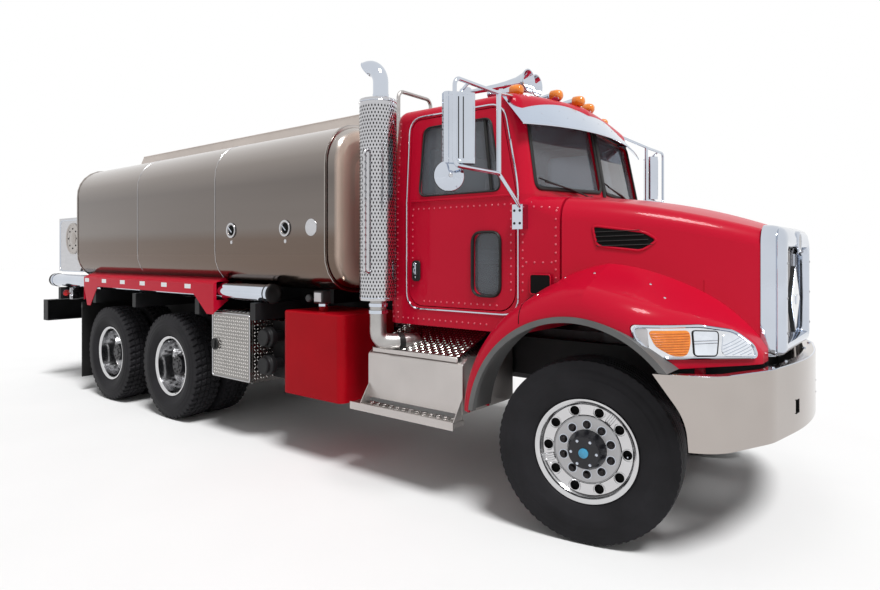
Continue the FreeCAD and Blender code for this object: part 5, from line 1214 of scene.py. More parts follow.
for name, side in SIDES:
    lay = hood_side(side, 0.002)
    lip = tube([lay(p.x, p.z) for p in outline_run(INTAKE, 0.03, 5, 0.03)], 0.008, 10, closed=True)
    piece(f"intake_lip_{name}", [lip], "hood", "red_paint")
    # dark panel: painted shade standing for the intake's opening
    panel = patch(INTAKE, hood_side(side, 0.0025), rings=4, step=0.03)
    piece(f"intake_shade_panel_{name}", [panel], "hood", deep_black)
    lay = hood_side(side, 0.006)
    louvres = []
    for k in range(LOUVRES):
        start_x, end_x, z = 5.728 - 0.004 * k, 6.020 - 0.022 * k, 1.700 + LOUVRE_PITCH * k
        run = [lay(start_x + (end_x - start_x) * t / 8, z + 0.010 * t / 8) for t in range(9)]
        louvres.append(tube(run, 0.0055, 8, flat=0.5))
    piece(f"intake_louvres_{name}", louvres, "hood", "rubber")
print("louvres in an intake", len(louvres))

# %% [markdown]
# ## Grille wires
# Behind the bright surround is a fine mesh of crossed wires. It could be painted on, but real wires catch the
# light and let the dark bay show between them, and four-sided tubes keep them cheap.

# %% Grille wires
GRILLE_X, GRILLE_HALF = 6.585, 0.362
GRILLE_LOW, GRILLE_TOP = 1.122, 1.672
WIRE_PITCH, WIRE_R = 0.0135, 0.0014


def crossing_wires(length, wire_at):
    """Wires a pitch apart over a length; wire_at gives a wire's two ends at a distance."""
    count = int(length / WIRE_PITCH)
    return [tube(wire_at(length * i / count), WIRE_R, 4) for i in range(count + 1)]


def upright_wire(distance):
    y = distance - GRILLE_HALF
    return [row(GRILLE_X, y, GRILLE_LOW), row(GRILLE_X, y, GRILLE_TOP)]


def level_wire(distance):
    x, z = GRILLE_X + 0.0024, GRILLE_LOW + distance
    return [row(x, -GRILLE_HALF, z), row(x, GRILLE_HALF, z)]


wires = crossing_wires(2 * GRILLE_HALF, upright_wire) + crossing_wires(GRILLE_TOP - GRILLE_LOW, level_wire)
piece("grille_wires", wires, "hood", "brushed_aluminium", smooth=False)
print("grille wires", len(wires))

# %% [markdown]
# ## Grille surround
# The surround is one bright pressing. It is built as a stack of rounded rings, from its outer edge over the
# rolled face and down into the opening, which gives a real highlight on every fold. It carries two bars, a
# wedge below the middle and a blank round badge.

# %% Grille surround
SURROUND = (  # place along the truck, half width, low, top, and the upper and lower corner radii
    (6.5455, 0.459, 1.062, 1.823, 0.105, 0.045), (6.590, 0.458, 1.062, 1.820, 0.105, 0.045),
    (6.618, 0.453, 1.066, 1.813, 0.100, 0.045), (6.624, 0.446, 1.071, 1.806, 0.097, 0.045),
    (6.630, 0.449, 1.069, 1.808, 0.098, 0.045), (6.650, 0.440, 1.076, 1.796, 0.090, 0.045),
    (6.664, 0.424, 1.090, 1.776, 0.080, 0.040), (6.6710, 0.404, 1.106, 1.748, 0.070, 0.040),
    (6.6718, 0.384, 1.122, 1.712, 0.060, 0.032), (6.664, 0.372, 1.134, 1.696, 0.052, 0.028),
    (6.640, 0.368, 1.139, 1.688, 0.050, 0.028), (6.572, 0.366, 1.140, 1.686, 0.050, 0.028))
BADGE_Z = 1.728
BADGE = ((-0.020, 0.066), (0.0005, 0.064), (0.0055, 0.058), (0.0060, 0.051), (0.0030, 0.047), (0.0030, 0))
BADGE_FACE = ((0, 0.0465), (0.0012, 0.0460), (0.0012, 0))


def rounded_ring(x, half, low, top, r_top, r_low, steps=7):
    """Rounded rectangle of points at one place along the truck."""
    ring = []
    for y, z, r, start in ((half, top, r_top, 0), (-half, top, r_top, 90), (-half, low, r_low, 180),
                           (half, low, r_low, 270)):
        cy, cz = y - math.copysign(r, y), z - (r if z == top else -r)
        for k in range(steps + 1):
            angle = math.radians(start + 90 * k / steps)
            ring.append(row(x, cy + r * math.cos(angle), cz + r * math.sin(angle)))
    return ring


rings = [rounded_ring(*station) for station in SURROUND]
around = len(rings[0])
faces = []
for a in range(len(rings) - 1):
    for k in range(around):
        n = (k + 1) % around
        faces.append([a * around + k, a * around + n, (a + 1) * around + n, (a + 1) * around + k])
pressing = [p for ring in rings for p in ring], faces
bars = [block(row(6.600, y - 0.012, 1.120), row(6.624, y + 0.012, 1.705)) for y in (-0.130, 0.130)]
drop = [row(x, y, z) for x in (6.640, 6.668) for y, z in ((-0.115, 1.715), (0.115, 1.715), (0, 1.652))]
wedge = drop, [[0, 1, 2], [3, 4, 5], [0, 1, 4, 3], [1, 2, 5, 4], [2, 0, 3, 5]]
badge = lathe(BADGE, row(6.6720, 0, BADGE_Z), AHEAD, 40)
piece("surround", [pressing, wedge, badge] + bars, "hood", "chrome", replaces=["grille_surround"])
piece("badge_blank", [lathe(BADGE_FACE, row(6.6755, 0, BADGE_Z), AHEAD, 36)], "hood", satin_grey)
print("surround rings", len(rings))

# %% [markdown]
# ## Placard holder and screws
# Tankers carry a diamond holder in front of the grille; here its white plate stays blank. Back, face and
# frame are one diamond at three sizes, with a small bright latch in the middle. Small screws hold the
# surround's sides.

# %% Placard holder and screws
PLACARD_Z = 1.372
PLATE_FACES = [[0, 1, 2, 3], [4, 5, 6, 7]] + [[k, (k + 1) % 4, 4 + (k + 1) % 4, 4 + k] for k in range(4)]
white_enamel = finish("white_enamel", (0.72, 0.73, 0.75), rough=0.3, coat=0.3, drift=0.04, drift_size=12.0,
                      grain=0.05, grain_size=90.0)


def diamond(x, half, tall):
    return [row(x, y, z) for y, z in ((-half, PLACARD_Z), (0, PLACARD_Z - tall), (half, PLACARD_Z),
                                      (0, PLACARD_Z + tall))]


back = diamond(6.626, 0.150, 0.205) + diamond(6.648, 0.150, 0.205)
piece("placard_back", [(back, PLATE_FACES)], "hood", "rubber", smooth=False)
face = diamond(6.649, 0.140, 0.193) + diamond(6.653, 0.137, 0.189)
piece("placard_face", [(face, PLATE_FACES)], "hood", white_enamel, smooth=False)
placard_frame = tube(diamond(6.650, 0.143, 0.197), 0.006, 8, closed=True)
placard_latch = block(row(6.650, -0.030, 1.345), row(6.660, 0.030, 1.400), 0.004)
piece("placard_edge", [placard_frame, placard_latch], "hood", "chrome")
screws = [bolt(row(6.6715, y, z), AHEAD, 0.006, 0.004) for y in (-0.394, 0.394) for z in (1.20, 1.40, 1.60)]
piece("surround_screws", screws, "hood", "stainless")
print("placard height", PLACARD_Z, "screws", len(screws))

# %% [markdown]
# ## Bumper bolts and tow openings
# Bolts go through the bumper's top flange, dropped on it by rays. The two tow openings are cut in the CAD
# bumper; dark linings and backs, painted shade inside each opening, stop the bright steel walls from shining
# inside them.

# %% Bumper bolts and tow openings
TOW_Y, TOW_Z = 0.34, 0.782
TOW_WALLS = ((-0.030, 0, 0.004, 0.078), (0.030, 0, 0.004, 0.078), (0, -0.038, 0.060, 0.004),
             (0, 0.038, 0.060, 0.004))  # sideways and up from the middle, then width and height
LINING_DEEP = 0.090
bumper_bolts = []
for y in (-0.62, -0.33, 0.0, 0.33, 0.62):
    place, out = skin("front_bumper", row(6.62 + 0.045 * (1 - abs(y)), y, 1.3), -UP)
    if place is not None and out.z > 0.7:
        bumper_bolts.append(bolt(place, out, 0.010, 0.008))
piece("bumper_bolts", bumper_bolts, "truck", "chrome")
# dark blocks inside and behind each tow opening: painted shade
linings = []
for _, side in SIDES:
    beside, _ = skin("front_bumper", row(7.4, side * TOW_Y, TOW_Z - 0.07), BACK)
    front = beside.x - SHIFT + 0.0004
    for dy, dz, wide, tall in TOW_WALLS:
        y, z = side * TOW_Y + dy, TOW_Z + dz
        set_back = 0.006 if dy * side > 0 else 0  # the bumper curves away outboard
        linings.append(block(row(front - LINING_DEEP, y - wide / 2, z - tall / 2),
                             row(front - set_back, y + wide / 2, z + tall / 2), 0.0006))
piece("tow_shade_linings", linings, "truck", deep_black)
backs = [side_block(side, (6.610, 6.622), (TOW_Y - 0.045, TOW_Y + 0.045), (0.735, 0.830), 0.002)
         for _, side in SIDES]
piece("tow_hole_shade_backs", backs, "truck", deep_black)
print("bumper bolts", len(bumper_bolts), "linings", len(linings))

# %% [markdown]
# ## Bumper lip
# A bright rolled lip follows the bumper's upper edge. Its run is found by looking in at the bumper from a fan
# of directions; points where the ray meets the top instead of the face are left out.

# %% Bumper lip
BUMPER_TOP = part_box("front_bumper")[1].z
LIP_FAN, LIP_STEPS = 78, 48  # degrees to either side of straight ahead
lip = []
for k in range(LIP_STEPS + 1):
    angle = math.radians(-LIP_FAN + 2 * LIP_FAN * k / LIP_STEPS)
    way = Vector((math.cos(angle), math.sin(angle), 0))
    hit, out = skin("front_bumper", row(5.90, 0, BUMPER_TOP - 0.012) + way * 2.0, -way)
    if hit is not None and abs(out.z) < 0.5:
        lip.append(Vector((hit.x, hit.y, BUMPER_TOP - 0.0035)) - out * 0.0062)
piece("bumper_lip", [tube(lip, 0.0060, 8)], "truck", "chrome")
print("lip points", len(lip))

# %% [markdown]
# ## Convex mirrors
# Below each mirror head hangs a round convex mirror. Its bright domed back, its rubber rim and its pivot are
# turned about the direction in which both mirrors are toed in.

# %% Convex mirrors
MIRROR_TOE = math.radians(38)
DISH_DOME = ((-0.001, 0.086), (0.008, 0.080), (0.018, 0.062), (0.026, 0.036), (0.029, 0))
DISH_PIVOT = ((0.0, 0.013), (0.010, 0.012), (0.013, 0.008), (0.013, 0))


def mirror_ways(side):
    """Ahead and sideways as a toed-in mirror sees them."""
    ahead = Vector((math.cos(MIRROR_TOE), side * math.sin(MIRROR_TOE), 0))
    return ahead, Vector((-math.sin(MIRROR_TOE), side * math.cos(MIRROR_TOE), 0))


def convex_mirror(name, side):
    dish = row(5.162, side * 1.595, 2.096)
    ahead, _ = mirror_ways(side)
    rim = tube(circle(dish + ahead * 0.004, -ahead, 0.0865, 40), 0.0042, 8, closed=True)
    piece(f"dish_rim_{name}", [rim], "truck", "rubber")
    piece(f"dish_dome_{name}", [lathe(DISH_DOME, dish + ahead * 0.010, ahead, 40)], "truck", "chrome")
    piece(f"dish_pivot_{name}", [lathe(DISH_PIVOT, dish + ahead * 0.038, ahead, 18)], "truck", "stainless")


print("mirror toe", round(math.degrees(MIRROR_TOE)), "degrees")

# %% [markdown]
# ## Mirror heads
# The bright heads have two pressed grooves down their backs, a rim and glass behind. The bracket is held to
# the door post by four bolts. Everything is set out in the head's own directions, because it is toed in.

# %% Mirror heads
MIRROR_MIDDLE = (5.190, 1.540, 2.370)
mirror_face = finish("mirror_face", (0.86, 0.87, 0.88), metal=1.0, rough=0.03, drift=0.01, drift_size=3.0,
                     grain=0.0, grain_size=20.0, rough_drift=0.01)
for name, side in SIDES:
    x, y, z = MIRROR_MIDDLE
    centre = row(x, side * y, z)
    ahead, wide = mirror_ways(side)
    grooves = []
    for shift in (-0.016, 0.012):
        start = centre + ahead * 0.0445 + wide * shift
        grooves.append(tube([start - UP * 0.175, start + UP * 0.175], 0.0035, 8))
    piece(f"mirror_grooves_{name}", grooves, "truck", "rubber")
    rim_run = rounded(centre + ahead * 0.040, wide * 0.078, UP * 0.186, 0.03)
    piece(f"mirror_rim_{name}", [tube(rim_run, 0.006, 8, closed=True)], "truck", "chrome")
    pane = rounded(centre - ahead * 0.0455, wide * 0.078, UP * 0.185)
    piece(f"mirror_glass_{name}", [(pane, [list(range(len(pane)))])], "truck", mirror_face, "chrome")
    convex_mirror(name, side)
    bolts = [bolt(row(x_bolt, side * 1.0362, z_bolt), outward(side), 0.0065, 0.005)
             for x_bolt in (5.252, 5.292) for z_bolt in (1.845, 1.925)]
    piece(f"mirror_bolts_{name}", bolts, "truck", "rubber")
print("bolts on a bracket", len(bolts))

# %% [markdown]
# ## Tail pipe
# The bright tail pipe rises out of its guard and bends back, and its mouth is cut on a slant. A tube swept
# along a path would end square, so the pipe is drawn as lines along its length instead: each climbs, follows
# the bend and stops where it meets the slanting cut, found by halving. The mouth is then truly open, with a
# dark bore inside and a thin rolled rim.

# %% Tail pipe
PIPE_R, PIPE_WALL = 0.056, 0.004
BEND_R = 0.125
BEND_X, STACK_Y, BEND_Z = 4.198, -1.150, 2.885  # where the straight pipe ends and the bend starts
MOUTH_SLANT = (-0.176, -0.112)  # which way the slanting cut faces, along the truck and up
PIPE_SIDES, BEND_STEPS = 36, 16
LONGEST_TURN, HALVINGS = 2.2, 24


def turn_to_cut(reach):
    """Turn at which a line of the bend, at its own reach from the bend's centre, meets the cut."""
    short, long = 0.0, LONGEST_TURN
    for _ in range(HALVINGS):
        middle = (short + long) / 2
        x, z = reach * math.cos(middle) - (BEND_R - PIPE_R), reach * math.sin(middle)
        past = MOUTH_SLANT[0] * x + MOUTH_SLANT[1] * z > 0
        short, long = (short, middle) if past else (middle, long)
    return short


def bent_pipe(radius, low):
    """Pipe from a height up to the slanting cut: its shape and the rim of its mouth."""
    corners, rim = [], []
    for k in range(PIPE_SIDES):
        turn = 2 * math.pi * k / PIPE_SIDES
        reach, y = BEND_R + radius * math.cos(turn), STACK_Y + radius * math.sin(turn)
        last = turn_to_cut(reach)
        corners += [row(BEND_X - BEND_R + reach, y, z) for z in (low, low + 0.05, BEND_Z - 0.05)]
        for step in range(BEND_STEPS + 1):
            a = last * step / BEND_STEPS
            corners.append(row(BEND_X - BEND_R + reach * math.cos(a), y, BEND_Z + reach * math.sin(a)))
        rim.append(corners[-1])
    long_way = len(corners) // PIPE_SIDES
    faces = []
    for k in range(PIPE_SIDES):
        a, b = k * long_way, (k + 1) % PIPE_SIDES * long_way
        faces += [[a + i, b + i, b + i + 1, a + i + 1] for i in range(long_way - 1)]
    return (corners, faces), rim


outer, rim = bent_pipe(PIPE_R, 2.60)
bore, _ = bent_pipe(PIPE_R - PIPE_WALL, 2.78)
piece("tail_pipe", [outer], "truck", "chrome", replaces=["exhaust_stack"])
piece("tail_pipe_bore", [bore], "truck", deep_black)
piece("tail_pipe_rim", [tube(rim, 0.0024, 8, closed=True)], "truck", "chrome")
print("pipe corners", len(outer[0]))

# %% [markdown]
# ## Elbow and muffler
# Below the guard a cast elbow leads inward under the cab, held by a clamp. The muffler inside the guard is a
# plain turned drum with two stays to the cab, hardly seen from outside.

# %% Elbow and muffler
STACK_X = 4.172
MUFFLER = ((1.34, 0.060), (1.345, 0.111), (2.63, 0.111), (2.64, 0.062))
CLAMP = ((-0.020, 0.0605), (-0.019, 0.0655), (0.019, 0.0655), (0.020, 0.0605))
pipe_grey = finish("pipe_grey", (0.42, 0.41, 0.40), metal=1.0, rough=0.34, drift=0.12, drift_size=8.0,
                   grain=0.4, grain_size=70.0)
elbow_run = eased([row(STACK_X, STACK_Y, 1.50), row(STACK_X, STACK_Y, 1.020), row(4.285, -1.030, 1.012),
                   row(4.330, -0.90, 1.010)], 0.11, 8)
piece("exhaust_elbow", [tube(elbow_run, 0.060, 28)], "truck", pipe_grey, "cast")
clamp = lathe(CLAMP, row(4.282, -1.034, 1.013), Vector((0.40, 0.90, 0)), 32)
piece("elbow_clamp", [clamp], "truck", "rubber")
stays = [side_block(-1, (STACK_X - 0.025, STACK_X + 0.025), (0.974, 1.150), (z, z + 0.05), 0.004)
         for z in (1.6, 2.3)]
piece("muffler", [lathe(MUFFLER, row(STACK_X, STACK_Y, 0), UP, 40)] + stays, "truck", "stainless")
print("elbow points", len(elbow_run))

# %% [markdown]
# ## Exhaust guard
# A bright perforated guard wraps the stack. Its rows of upright holes are small dark ovals that sit just off
# its face, painted shade for the inside of the guard: at arm's length they read as holes, and cutting them
# would cost far more. Two beads close the guard's ends, and clamps hold the pipe above and the elbow below.

# %% Exhaust guard
GUARD_R, GUARD_LOW, GUARD_TOP = 0.134, 1.352, 2.700
HOLE_COLUMNS, HOLE_ROWS = 36, 54
HOLE_HALF = (0.0052, 0.0092)  # half its width and height
holes = []
for k in range(HOLE_ROWS):
    z = GUARD_LOW + (GUARD_TOP - GUARD_LOW) * k / (HOLE_ROWS - 1)
    for i in range(HOLE_COLUMNS):
        angle = 2 * math.pi * (i + 0.5 * (k % 2)) / HOLE_COLUMNS
        out = Vector((math.cos(angle), math.sin(angle), 0))
        place, normal = skin("muffler_guard", row(STACK_X, STACK_Y, z) + out * 0.5, -out)
        wide, tall = UP.cross(out) * HOLE_HALF[0], UP * HOLE_HALF[1]
        oval = [place + normal * 0.0005 + wide * math.cos(a) + tall * math.sin(a)
                for a in [math.pi * n / 4 for n in range(8)]]
        holes.append((oval, [list(range(8))]))
# dark ovals: painted shade inside the perforated guard
piece("guard_hole_shades", holes, "truck", deep_black, smooth=False)
bands = [tube(circle(row(STACK_X, STACK_Y, z), UP, GUARD_R + 0.001, 48), 0.004, 8, closed=True)
         for z in (1.34, 2.74)]
for x, z, radius in ((STACK_X, 1.235, 0.066), (STACK_X, 1.285, 0.066), (BEND_X, 2.790, PIPE_R - 0.001)):
    band = ((-0.012, radius), (-0.012, radius + 0.0035), (0.012, radius + 0.0035), (0.012, radius))
    bands.append(lathe(band, row(x, STACK_Y, z), UP, 40))
piece("stack_clamps", bands, "truck", "chrome")
print("guard holes", len(holes))

# %% [markdown]
# ## Tread plate
# The battery box, its steps and the toolbox are aluminium tread plate, rolled with short crossed lugs. Each
# lug is a low ridge of a few faces, so a whole panel stays light and still sparkles as real plate does. A
# helper lays them over any rectangle that two edges span.

# %% Tread plate
LUG_HALF, LUG_WIDE, LUG_TALL = 0.0140, 0.0055, 0.0032
LUG_RIDGE = 0.35  # how much of a lug's length its ridge keeps
LUG_FACES = [[0, 1, 4], [1, 2, 5], [1, 5, 4], [2, 3, 5], [3, 0, 4], [3, 4, 5]]
PROUD = 0.0002  # lugs start this far off the sheet
lug_metal = finish("lug_metal", (0.80, 0.78, 0.75), metal=1.0, rough=0.2, drift=0.06, drift_size=6.0,
                   grain=0.1, grain_size=90.0)


def lugs(corner, along, up, out, pitch=0.030):
    """Crossed lugs over the rectangle that two edges span from a corner."""
    a, b = along.normalized(), up.normalized()
    count_a, count_b = int(along.length / pitch), int(up.length / pitch)
    shapes = []
    for i in range(count_a):
        for j in range(count_b):
            place = corner + a * (along.length * (i + 0.5) / count_a) + b * (up.length * (j + 0.5) / count_b)
            way = (a + b if (i + j) % 2 else a - b).normalized()
            side = out.cross(way).normalized()
            foot = [place + way * LUG_HALF, place + side * LUG_WIDE, place - way * LUG_HALF,
                    place - side * LUG_WIDE]
            ridge = [place + out * LUG_TALL + way * LUG_HALF * s for s in (LUG_RIDGE, -LUG_RIDGE)]
            shapes.append((foot + ridge, LUG_FACES))
    return shapes


def tread_piece(name, shapes, body="truck"):
    piece(name, shapes, body, lug_metal, "brushed_aluminium", smooth=False)


print("a lug has", len(LUG_FACES), "faces")

# %% [markdown]
# ## Toolbox tread
# The toolbox's door, ends and top are tread plate. The door's lugs ride on the door, so they open with it.

# %% Toolbox tread
EDGE = 0.025  # plain border round a tread panel
DOOR_FACE = -1.2002
door_low, door_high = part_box("toolbox_door")
box_low, box_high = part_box("toolbox")
door_size, box_size = door_high - door_low, box_high - box_low
door_lugs = lugs(Vector((door_low.x + EDGE, DOOR_FACE, door_low.z + EDGE)),
                 AHEAD * (door_size.x - 2 * EDGE), UP * (door_size.z - 2 * EDGE), OUT_RIGHT)
tread_piece("toolbox_door_tread", door_lugs, "toolbox_door")
box_lugs = []
for x, out in ((box_low.x, BACK), (box_high.x, AHEAD)):
    box_lugs += lugs(Vector((x, -1.17, box_low.z + EDGE)) + out * PROUD, Vector((0, 0.53, 0)),
                     UP * (box_size.z - 2 * EDGE), out)
box_lugs += lugs(Vector((box_low.x + EDGE, -1.17, box_high.z + PROUD)), AHEAD * (box_size.x - 2 * EDGE),
                 Vector((0, 0.52, 0)), UP)
tread_piece("toolbox_tread", box_lugs)
print("lugs on the door", len(door_lugs), "and on the box", len(box_lugs))

# %% [markdown]
# ## Step apron
# A tread sheet slopes from the outer edge of the battery box's top up to the cab. It is a thin plate between
# two lines, and the way it faces is worked out from its slope.

# %% Step apron
STEP_REAR, STEP_FRONT = 4.03 + SHIFT, 4.88 + SHIFT
APRON_LOW, APRON_HIGH = Vector((0, -1.075, 0.957)), Vector((0, -0.60, 1.135))
APRON_SHEET = 0.004
slope = APRON_HIGH - APRON_LOW
apron_out = Vector((0, -slope.z, slope.y)).normalized()
apron = []
for x in (STEP_REAR + 0.01, STEP_FRONT - 0.03):
    for foot in (APRON_LOW, APRON_HIGH):
        apron += [AHEAD * x + foot, AHEAD * x + foot + apron_out * APRON_SHEET]
apron_faces = [[0, 1, 3, 2], [4, 5, 7, 6], [0, 1, 5, 4], [2, 3, 7, 6], [1, 3, 7, 5], [0, 2, 6, 4]]
piece("step_apron", [(apron, apron_faces)], "truck", tread_metal, "brushed_aluminium", smooth=False)
print("the apron slopes", round(math.degrees(math.atan2(slope.z, slope.y))), "degrees")

# %% [markdown]
# ## Running board
# A narrow tread board lies on the flange at the foot of the box's front. One ray finds the flange's height
# and another the box's face above it.

# %% Running board
flange, _ = skin("step_box", row(4.40, -1.196, 0.90), -UP)
behind, _ = skin("step_box", row(4.40, -2.0, flange.z + 0.04), -OUT_RIGHT)
board_low = Vector((STEP_REAR + 0.012, -1.192, flange.z - 0.007))
board_high = Vector((STEP_FRONT - 0.020, behind.y + 0.004, flange.z - 0.002))
board = block(board_low, board_high, 0.001)
piece("running_board", [board], "truck", lug_metal, "brushed_aluminium")
board_lugs = lugs(Vector((board_low.x + 0.02, board_low.y + 0.012, board_high.z + PROUD)),
                  AHEAD * (board_high.x - board_low.x - 0.04),
                  Vector((0, board_high.y - board_low.y - 0.014, 0)), UP)
piece("running_board_lugs", board_lugs, "truck", step_metal, "brushed_aluminium")
print("running board at", round(flange.z, 3), "from", round(behind.y, 3))

# %% [markdown]
# ## Tread on the steps
# The battery box is stepped: there is tread on its top, on its rear end, on the lower tread and on the apron.
# A rounded hem finishes the top's edge.

# %% Tread on the steps
hem = block((STEP_REAR + 0.03, -1.0925, 0.928), (STEP_FRONT - 0.04, -1.0785, 0.962), 0.005)
piece("step_hem", [hem], "truck", step_metal, "brushed_aluminium")
step_lugs = lugs(Vector((STEP_REAR + 0.02, -1.065, 0.9552)), AHEAD * (STEP_FRONT - STEP_REAR - 0.04),
                 Vector((0, 0.54, 0)), UP)
step_lugs += lugs(Vector((STEP_REAR - 0.0102, -1.06, 0.625)), Vector((0, 0.54, 0)), UP * 0.30, BACK)
step_lugs += lugs(Vector((STEP_REAR - 0.07, -1.195, 0.5402)), AHEAD * 0.93, Vector((0, 0.13, 0)), UP, 0.026)
step_lugs += lugs(AHEAD * (STEP_REAR + 0.02) + APRON_LOW + apron_out * (APRON_SHEET + 0.0001),
                  AHEAD * (STEP_FRONT - STEP_REAR - 0.06), slope * 0.99, apron_out)
tread_piece("step_tread", step_lugs)
print("lugs on the steps", len(step_lugs))

# %% [markdown]
# ## Toolbox latch and fold
# The toolbox door has a folded edge all round and a round black latch with a folding handle. Both ride on the
# door, so they open with it.

# %% Toolbox latch and fold
FOLD = 0.008  # how far in the door's folded edge lies
LATCH = ((-0.004, 0.054), (0.004, 0.053), (0.006, 0.046), (0.003, 0.042), (0.003, 0))
latch = row(2.160, -1.216, 0.8275)
latch_handle = block(latch + Vector((-0.014, -0.016, -0.036)), latch + Vector((0.014, -0.002, 0.036)), 0.005)
piece("toolbox_latch", [lathe(LATCH, latch, OUT_RIGHT, 32), latch_handle], "toolbox_door", "rubber")
door_middle = (door_low + door_high) / 2
door_middle.y = DOOR_FACE - 0.0005
fold = rounded(door_middle, AHEAD * (door_size.x / 2 - FOLD), UP * (door_size.z / 2 - FOLD))
piece("toolbox_fold", [tube(fold, 0.004, 8, closed=True)], "toolbox_door", "stainless")
print("fold", [round(v, 3) for v in door_size])

# %% [markdown]
# ## Tank seams
# Welded rings join the tank's barrel plates and a rolled ring closes each head. Each ring is a bead whose
# points are found by looking in at the tank from all round.

# %% Tank seams
TANK_MIDDLE_Z = 2.0
SEAMS = (0.71, 2.18)
HEAD_RINGS = (-0.795, 3.685)


def tank_ring(x, lift, count=96):
    """Points round the tank's skin at one place along it."""
    middle = row(x, 0, TANK_MIDDLE_Z)
    ring = []
    for i in range(count):
        angle = 2 * math.pi * i / count
        out = Vector((0, math.cos(angle), math.sin(angle)))
        place, _ = skin("tank", middle + out * 2.0, -out)
        ring.append(place + out * lift)
    return ring


seams = [tube(tank_ring(x, 0.0006), 0.0042, 6, closed=True, flat=0.5) for x in SEAMS]
piece("tank_seams", seams, "truck", "stainless")
head_rings = [tube(tank_ring(x, 0.001), 0.010, 8, closed=True, flat=0.6) for x in HEAD_RINGS]
piece("tank_head_rings", head_rings, "truck", "polished_aluminium")
print("seams", len(seams), "head rings", len(head_rings))

# %% [markdown]
# ## Recessed cups and dam edges
# Two cups are let into each side of the tank, each a turned rim round a dark core with a small lever across
# it and a round stud below. Farther forward on the right is one plain round plate, which carries nothing.
# Two beads finish the upper edges of the spill dam above.

# %% Recessed cups and dam edges
CUPS = ((2.44, 1.86), (3.20, 1.86))
CUP_RIM = ((-0.006, 0.068), (0.001, 0.067), (0.003, 0.060), (-0.001, 0.050), (-0.006, 0.044))
CUP_CORE = ((-0.0065, 0.046), (-0.006, 0.044), (-0.004, 0.020), (0.002, 0.016), (0.002, 0))
CUP_STUD = ((0, 0.017), (0.006, 0.016), (0.008, 0.010), (0.008, 0))
ROUND_PLATE = ((-0.001, 0.068), (0.002, 0.067), (0.003, 0.062), (0.002, 0.058), (0.002, 0))
DAM_EDGE = (0.447, 2.908)  # sideways and up
cup_rims, cup_cores, cup_levers = [], [], []
for x, z in CUPS:
    for _, side in SIDES:
        centre, out = row(x, side * 1.2345, z), outward(side)
        cup_rims.append(lathe(CUP_RIM, centre, out, 36))
        cup_rims.append(lathe(CUP_STUD, centre - out * 0.014 - UP * 0.105, out, 18))
        cup_cores.append(lathe(CUP_CORE, centre, out, 28))
        cup_levers.append(tube([centre + out * 0.003 + Vector((-0.030, 0, 0.026)),
                                centre + out * 0.005 + Vector((0.022, 0, -0.018))], 0.0048, 8))
piece("cup_rims", cup_rims, "truck", "stainless")
piece("cup_cores", cup_cores, "truck", deep_black)
piece("cup_levers", cup_levers, "truck", "chrome")
plate = lathe(ROUND_PLATE, row(3.52, -1.2255, 1.86), OUT_RIGHT, 40)
piece("round_plate", [plate], "truck", "stainless")
y, z = DAM_EDGE
dam_edges = [tube([row(-0.73, side * y, z), row(3.48, side * y, z)], 0.007, 8) for _, side in SIDES]
piece("dam_edges", dam_edges, "truck", dam_paint, "brushed_aluminium")
print("cups", len(cup_cores))

# %% [markdown]
# ## Manhole lids
# Each lid is clamped by a ring of dogs and has a lifting handle and a vent. They ride on their own lids so
# that they open with them.

# %% Manhole lids
VENT_CAP = ((-0.02, 0.060), (0.008, 0.060), (0.014, 0.052), (0.016, 0.02), (0.016, 0))
HANDLE_RUN = ((-0.08, -0.002), (-0.08, 0.03), (0.08, 0.03), (0.08, -0.002))  # along the truck and up
for name, x in (("rear", 0.70), ("front", 2.94)):
    centre = row(x, 0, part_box(f"manhole_lid_{name}")[1].z)
    handle = tube(eased([centre + Vector((dx, -0.12, dz)) for dx, dz in HANDLE_RUN], 0.02, 4), 0.007, 8)
    dogs = [bolt(place, UP, 0.010, 0.010) for place in circle(centre - UP * 0.02, UP, 0.222, 8, 0.5)]
    vent = lathe(VENT_CAP, centre + Vector((0, 0.06, 0)), UP, 28)
    piece(f"lid_fittings_{name}", [handle, vent] + dogs, f"manhole_lid_{name}", "stainless")
print("dogs on a lid", len(dogs))

# %% [markdown]
# ## Reflectors and tail lamps
# White reflex rectangles mark the red band above the drive wheels; each is a thin chamfered tile set off the
# skirt. The round lenses at the back are red, and all four share one profile.

# %% Reflectors and tail lamps
TILES, TILE_START, TILE_PITCH = 6, -0.489, 0.446
TAIL_LENS = ((-0.002, 0.036), (0.006, 0.035), (0.011, 0.026), (0.012, 0))
white_reflex = finish("white_reflex", (0.74, 0.75, 0.77), rough=0.3, coat=0.2, drift=0.06,
                      drift_size=200.0, grain=0.3, grain_size=600.0)
red_lens = finish("red_lens", (0.50, 0.01, 0.01), rough=0.15, coat=0.5, drift=0.1, drift_size=40.0, grain=0.3,
                  grain_size=120.0, gloss=0.3)
skirt_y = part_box("rear_fenders")[1].y
tiles = []
for _, side in SIDES:
    for k in range(TILES):
        x = TILE_START + TILE_PITCH * k
        tiles.append(side_block(side, (x - 0.055, x + 0.055), (skirt_y - 0.004, skirt_y + 0.0003),
                                (1.322, 1.366), 0.001))
piece("side_reflectors", tiles, "truck", white_reflex)
lamp_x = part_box("tail_lights")[0].x + 0.013
lamp_places = [Vector((lamp_x, side * 1.14 + dy, 1.16)) for _, side in SIDES for dy in (-0.045, 0.045)]
piece("tail_lenses", [lathe(TAIL_LENS, place, BACK, 28) for place in lamp_places], "truck", red_lens)
print("tiles", len(tiles), "tail lamps", len(lamp_places))

# %% [markdown]
# ## Rear cabinet
# Each side of the reel cabinet has a raised plate with rounded corners, drawn by its bright edge, and a round
# polished reel cover held by eight dark bolts. The cover is one turned profile: a rolled rim, a flat ring and
# a raised boss. Bright rims go round the tail lenses below it.

